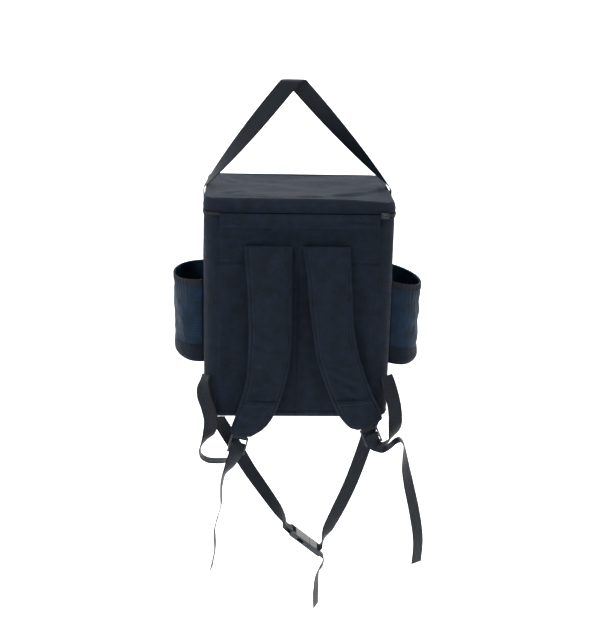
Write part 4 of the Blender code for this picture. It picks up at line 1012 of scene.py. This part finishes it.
LOOP_RIGHT_ROUTE = (
    (0.013, -0.013, 0.941, 0.60, 0.60, 0.50),
    (0.052, -0.048, 0.824, 0.68, 0.45, 0.55),
    (0.102, -0.096, 0.659, 0.78, 0.28, 0.50),
    (0.157, -0.139, 0.459, 0.90, 0.12, 0.35),
    (0.205, -0.175, 0.224, 0.98, 0.05, 0.12),
    (0.223, -0.199, -0.036, 1.00, 0.05, 0.00),
    (0.211, -0.163, -0.253, 0.85, 0.50, 0.00),
    (0.151, -0.114, -0.458, 0.45, 0.88, 0.10),
    (0.042, -0.066, -0.602, 0.15, 0.97, 0.10),
    (-0.090, -0.018, -0.651, 0.30, 0.93, 0.15),
    (-0.175, -0.018, -0.560, 0.65, 0.70, 0.30),
)
TAIL_LEFT, TAIL_RIGHT, TAIL_CENTRE = 0.247, 0.252, 0.115
ROOT_HEIGHT, LOOP_DROP = 0.085, 0.083

for side, name, loop, tail, length in (
    (-1, "left", LOOP_LEFT_ROUTE, TAIL_LEFT_ROUTE, TAIL_LEFT),
    (1, "right", LOOP_RIGHT_ROUTE, TAIL_RIGHT_ROUTE, TAIL_RIGHT),
):
    lock = LOCKS[side]
    sideways = tuple(lock[1])
    top = LOCK_REACH - 2 * GAP
    holder = [(*in_lock(lock, 0, TURN, top), *sideways)]
    holder += [(*in_lock(lock, 0, out, rise), *sideways) for out, rise in turn_points(LOCK_UPPER, 0, -180, 7)]
    holder.append((*in_lock(lock, 0, -TURN, top), *sideways))
    routed("lock_loop_strap_" + name, holder, 4, "lock_loop_" + name)
    corner = np.array([side * (WIDTH / 2 - 0.29 * CORNER), -DEPTH / 2 + 0.29 * CORNER, BASE])
    corner = corner + np.array([side, -1, 0]) * (WEB_THICK / 2 + 2 * GAP)
    route = []
    for row in loop:
        rise = ROOT_HEIGHT if row[2] > 0 else LOOP_DROP
        route.append((*(corner + np.array(row[:3]) * (LOOP_DROP, LOOP_DROP, rise)), *row[3:]))
    route.append((*in_lock(lock, 0, -LOCK_STAND, -LOCK_LEAVE), *sideways))
    route += [(*in_lock(lock, 0, out, rise), *sideways) for out, rise in turn_points(0, 150, 30, 5)]
    route.append((*in_lock(lock, 0, LOCK_STAND, -LOCK_LEAVE), *sideways))
    route += [(*(lock[0] + np.array(row[:3]) * length), *row[3:]) for row in tail]
    routed("web_strap_" + name, route, 12, "web_" + name)

# Waist belt. Two halves of the same webbing, sewn under the base, that meet in a fastened side-release buckle.
# The buckle is acetal: the female half is a hollow box with side windows, the male one has a tongue and two arms.
BUCKLE_WIDTH, BUCKLE_THICK, FEMALE_LENGTH, MALE_LENGTH = 0.033, 0.010, 0.042, 0.029
TONGUE_LENGTH, SLOT = 0.024, 0.0075
BELT_DROP, BELT_INSET, BELT_LEAN, BUCKLE_LEFT = 0.223, 0.011, 0.005, -0.006
BELT_LEFT_ROUTE = (
    (-0.623, -0.018, -0.004, 1.00, 0.00, 0.00),
    (-0.621, 0.004, -0.031, 0.99, 0.00, 0.10),
    (-0.601, 0.025, -0.081, 0.93, 0.00, 0.37),
    (-0.565, 0.027, -0.143, 0.82, 0.10, 0.55),
    (-0.475, 0.026, -0.296, 0.76, 0.30, 0.55),
    (-0.381, 0.019, -0.462, 0.68, 0.50, 0.48),
    (-0.256, 0.005, -0.646, 0.62, 0.62, 0.42),
    (-0.135, -0.013, -0.821, 0.50, 0.80, 0.30),
    (-0.072, -0.022, -0.919, 0.10, 0.99, 0.10),
)
BELT_RIGHT_ROUTE = (
    (0.628, -0.018, -0.004, 1.00, 0.00, 0.00),
    (0.626, 0.004, -0.031, 0.99, 0.00, -0.10),
    (0.612, 0.022, -0.094, 0.96, 0.00, -0.28),
    (0.578, 0.013, -0.233, 0.94, 0.00, -0.33),
    (0.471, 0.004, -0.574, 0.92, 0.05, -0.38),
    (0.377, -0.004, -0.803, 0.90, 0.15, -0.40),
    (0.291, -0.013, -0.991, 0.80, 0.45, -0.35),
    (0.256, -0.022, -1.081, 0.40, 0.90, -0.15),
)
TAIL_CENTRE_ROUTE = (
    (0.070, 0.000, -0.110, 0.00, 1.00, 0.00),
    (0.060, 0.000, -0.240, 0.10, 0.99, 0.00),
    (-0.010, 0.000, -0.370, 0.30, 0.95, 0.00),
    (-0.035, 0.000, -0.700, 0.45, 0.89, 0.00),
    (-0.030, 0.000, -1.000, 0.40, 0.91, 0.00),
)
BUCKLE_ORIGIN = np.array([BUCKLE_LEFT, -DEPTH / 2 + BELT_INSET - BELT_LEAN, BASE - BELT_DROP])
BUCKLE_AHEAD = unit(np.array([0.78, 0.0, -0.627]))
BUCKLE_SQUARE = np.array([-BUCKLE_AHEAD[2], 0, BUCKLE_AHEAD[0]])


def in_buckle(ahead, across, out):
    """A point given in the buckle's own directions."""
    return BUCKLE_ORIGIN + BUCKLE_AHEAD * ahead + np.array([0, 1, 0]) * across + BUCKLE_SQUARE * out


def belt_root(row):
    """A point of a belt half, from its shares of the belt's drop, counted from the near edge of the base."""
    return np.array([0, -DEPTH / 2 + BELT_INSET, BASE]) + np.array(row[:3]) * BELT_DROP


half, deep = BUCKLE_WIDTH / 2, BUCKLE_THICK / 2
arm, tongue, play, room = 0.006, 0.004, 0.0004, 0.0022
rail, tight = LOCK_RAIL + play, room - play
male_start = FEMALE_LENGTH + 2 * GAP
male_end = male_start + MALE_LENGTH
female_cuts = (
    (0, LOCK_BAR, LOCK_BAR + SLOT, FEMALE_LENGTH - TONGUE_LENGTH - play, FEMALE_LENGTH - 0.012, FEMALE_LENGTH),
    (-half, -half + LOCK_RAIL, -half + 2 * LOCK_RAIL, half - 2 * LOCK_RAIL, half - LOCK_RAIL, half),
    (-deep, -room, -LOCK_BAR / 2, LOCK_BAR / 2, room, deep),
)
male_cuts = (
    (FEMALE_LENGTH - TONGUE_LENGTH, male_start, male_end - LOCK_BAR - SLOT, male_end - LOCK_BAR, male_end),
    (-half, -half + rail, -half + rail + arm, -tongue, tongue, half - rail - arm, half - rail, half),
    (-deep, -tight, -LOCK_BAR / 2, LOCK_BAR / 2, tight, deep),
)


def female_filled(i, j, k):
    """The female half's cells: a bar and a slot for the webbing, then a box with a cavity and side windows."""
    middle, inside = 1 <= j <= 3, 1 <= k <= 3
    if i == 0:
        return k == 2 or not middle
    if i == 1:
        return not middle
    return i == 2 or not (inside and (middle or i == 3))


def male_filled(i, j, k):
    """The male half's cells: tongue and two arms, a solid bridge, then a slot and a bar between two rails."""
    outer = j in (0, 6)
    if i == 0:
        return 1 <= k <= 3 and j in (1, 3, 5)
    return {1: True, 2: outer, 3: k == 2 or outer}[i]


def placed(a, b, c):
    """A point of the buckle in the shared frame."""
    return hung(in_buckle(a, b, c))


block_piece("buckle_box", female_cuts, female_filled, placed, acetal, ["buckle_female"], bevel=0.0008)
block_piece("buckle_prong", male_cuts, male_filled, placed, acetal, ["buckle_male"], bevel=0.0006)

SIDEWAYS = (0, 1, 0)
centre = LOCK_BAR / 2
route = [(*belt_root(row), *row[3:]) for row in BELT_LEFT_ROUTE]
route.append((*in_buckle(centre - 0.012, 0, TURN * 0.9), *SIDEWAYS))
for angle in np.radians((90, 45, 0, -45, -90)):
    route.append((*in_buckle(centre + TURN * math.cos(angle), 0, TURN * math.sin(angle)), *SIDEWAYS))
route.append((*in_buckle(centre - 0.010, 0, -TURN * 0.8), *SIDEWAYS))
route.append((*in_buckle(centre - 0.018, 0, -TURN * 0.5), *SIDEWAYS))
routed("belt_strap_left", route, 12, "belt_left")

bar_at = male_end - LOCK_BAR / 2
route = [(*belt_root(row), *row[3:]) for row in BELT_RIGHT_ROUTE]
route.append((*in_buckle(bar_at - TURN, 0, 0.012), *SIDEWAYS))
for angle in np.radians((180, 225, 270)):
    route.append((*in_buckle(bar_at + TURN * math.cos(angle), 0, TURN * math.sin(angle)), *SIDEWAYS))
route += [(*(in_buckle(bar_at, 0, 0) + np.array(row[:3]) * TAIL_CENTRE), *row[3:]) for row in TAIL_CENTRE_ROUTE]
routed("belt_strap_right", route, 12, "belt_right")

# Carry strap. One webbing 30 mm wide from side wall to side wall, folded slantwise over an absent bar and sewn
# down at both ends with a box of stitches.
CARRY_WIDTH, CARRY_SEWN, BAR_RADIUS, HANG_DROP = 0.030, 0.110, 0.004, 0.187
CARRY_COLUMNS = 13


def fold_points(along, across, slope):
    """Points of a strap folded slantwise over a bar along X: laid flat, then wound round the bar and let down."""
    radius = BAR_RADIUS + WEB_THICK / 2
    quarter = radius * math.pi / 2
    x = along * math.cos(slope) + across * math.sin(slope)
    rise = along * math.sin(slope) - across * math.cos(slope)
    angle = np.clip(rise, -quarter, quarter) / radius + math.pi / 2
    past = np.where(np.abs(rise) > quarter, np.abs(rise) - quarter, 0)
    return np.stack([x, -radius * np.cos(angle), -BAR_RADIUS + radius * np.sin(angle) - past], axis=-1)


def strap_half(reach, slope):
    """Rows of half the carry strap, from its sewn end on the side wall up to the middle of the fold at the origin."""
    off = GAP + WEB_THICK / 2
    past_zip = ZIP_THICK + 2 * GAP + WEB_THICK / 2
    low = ZIP_MIDDLE - ZIP_HEIGHT / 2 - CARRY_SEWN
    route = []
    for share in np.linspace(0, 0.95, 20):
        z = low + CARRY_SEWN * share
        h = np.clip((z - BASE) / BODY_HEIGHT, 0, 1)
        route.append((-reach - off - SWELLS[1] * 4 * h * (1 - h) - (past_zip - off) * share**6, 0, z))
    for z in (ZIP_MIDDLE - ZIP_HEIGHT / 2, ZIP_MIDDLE, ZIP_MIDDLE + ZIP_HEIGHT / 2):
        route.append((-reach - past_zip, 0, z))
    radius, leave = LID_EDGE + past_zip, slope + math.pi / 2
    for angle in np.linspace(math.pi, leave, 10):
        x = -reach + LID_EDGE + radius * math.cos(angle)
        route.append((x, 0, LID_TOP - LID_EDGE + radius * math.sin(angle)))
    half = CARRY_WIDTH / 2
    quarter = (BAR_RADIUS + WEB_THICK / 2) * math.pi / 2
    start = -(quarter + half * math.cos(slope)) / math.sin(slope) - 0.002
    meet = fold_points(np.array(start), np.array(0.0), slope)
    edge = np.array(route[-1])
    across = np.linspace(-half, half, CARRY_COLUMNS)
    wall_way = np.array([0.0, -1.0, 0.0])
    fold_way = np.array([math.sin(slope), 0.0, -math.cos(slope)])
    rows = [np.array(point) + wall_way * across[:, None] for point in route]
    for share in np.linspace(0, 1, 50)[1:-1]:
        turn = math.pi / 2 * share**0.8
        way = wall_way * math.cos(turn) + fold_way * math.sin(turn)
        rows.append(edge + (meet - edge) * share + way * across[:, None])
    for along in np.linspace(start, 0, 40):
        rows.append(fold_points(np.full(CARRY_COLUMNS, along), across, slope))
    return np.array(rows)


slope = math.atan2(HANG_DROP, WIDTH / 2)
left = strap_half(WIDTH / 2 - SHIFT, slope)
right_half = strap_half(WIDTH / 2 + SHIFT, slope) * (-1, -1, 1)
strap_grid = np.concatenate([left[:-1], right_half[::-1, ::-1]])
strap_sheet("carry_strap_webbing", strap_grid, "carry_strap")

SEWN_ROWS = 20
rows = []
for sewn, way in ((left[:SEWN_ROWS], -1), (right_half[:SEWN_ROWS], 1)):
    face = sewn + np.array([way, 0, 0]) * WEB_THICK / 2
    outward = np.broadcast_to(np.array([float(way), 0, 0]), face.shape)
    for path in (face[2:-4, 1], face[2:-4, -2], face[2, 1:-1], face[-5, 1:-1]):
        rows.append((path, outward[0, : 1].repeat(len(path), axis=0)))
    corners = (face[2, 1], face[-5, -2]), (face[2, -2], face[-5, 1])
    for start, end in corners:
        path = np.linspace(start, end, 30)
        rows.append((path, outward[0, : 1].repeat(30, axis=0)))
stitches("carry_strap_stitches", rows)
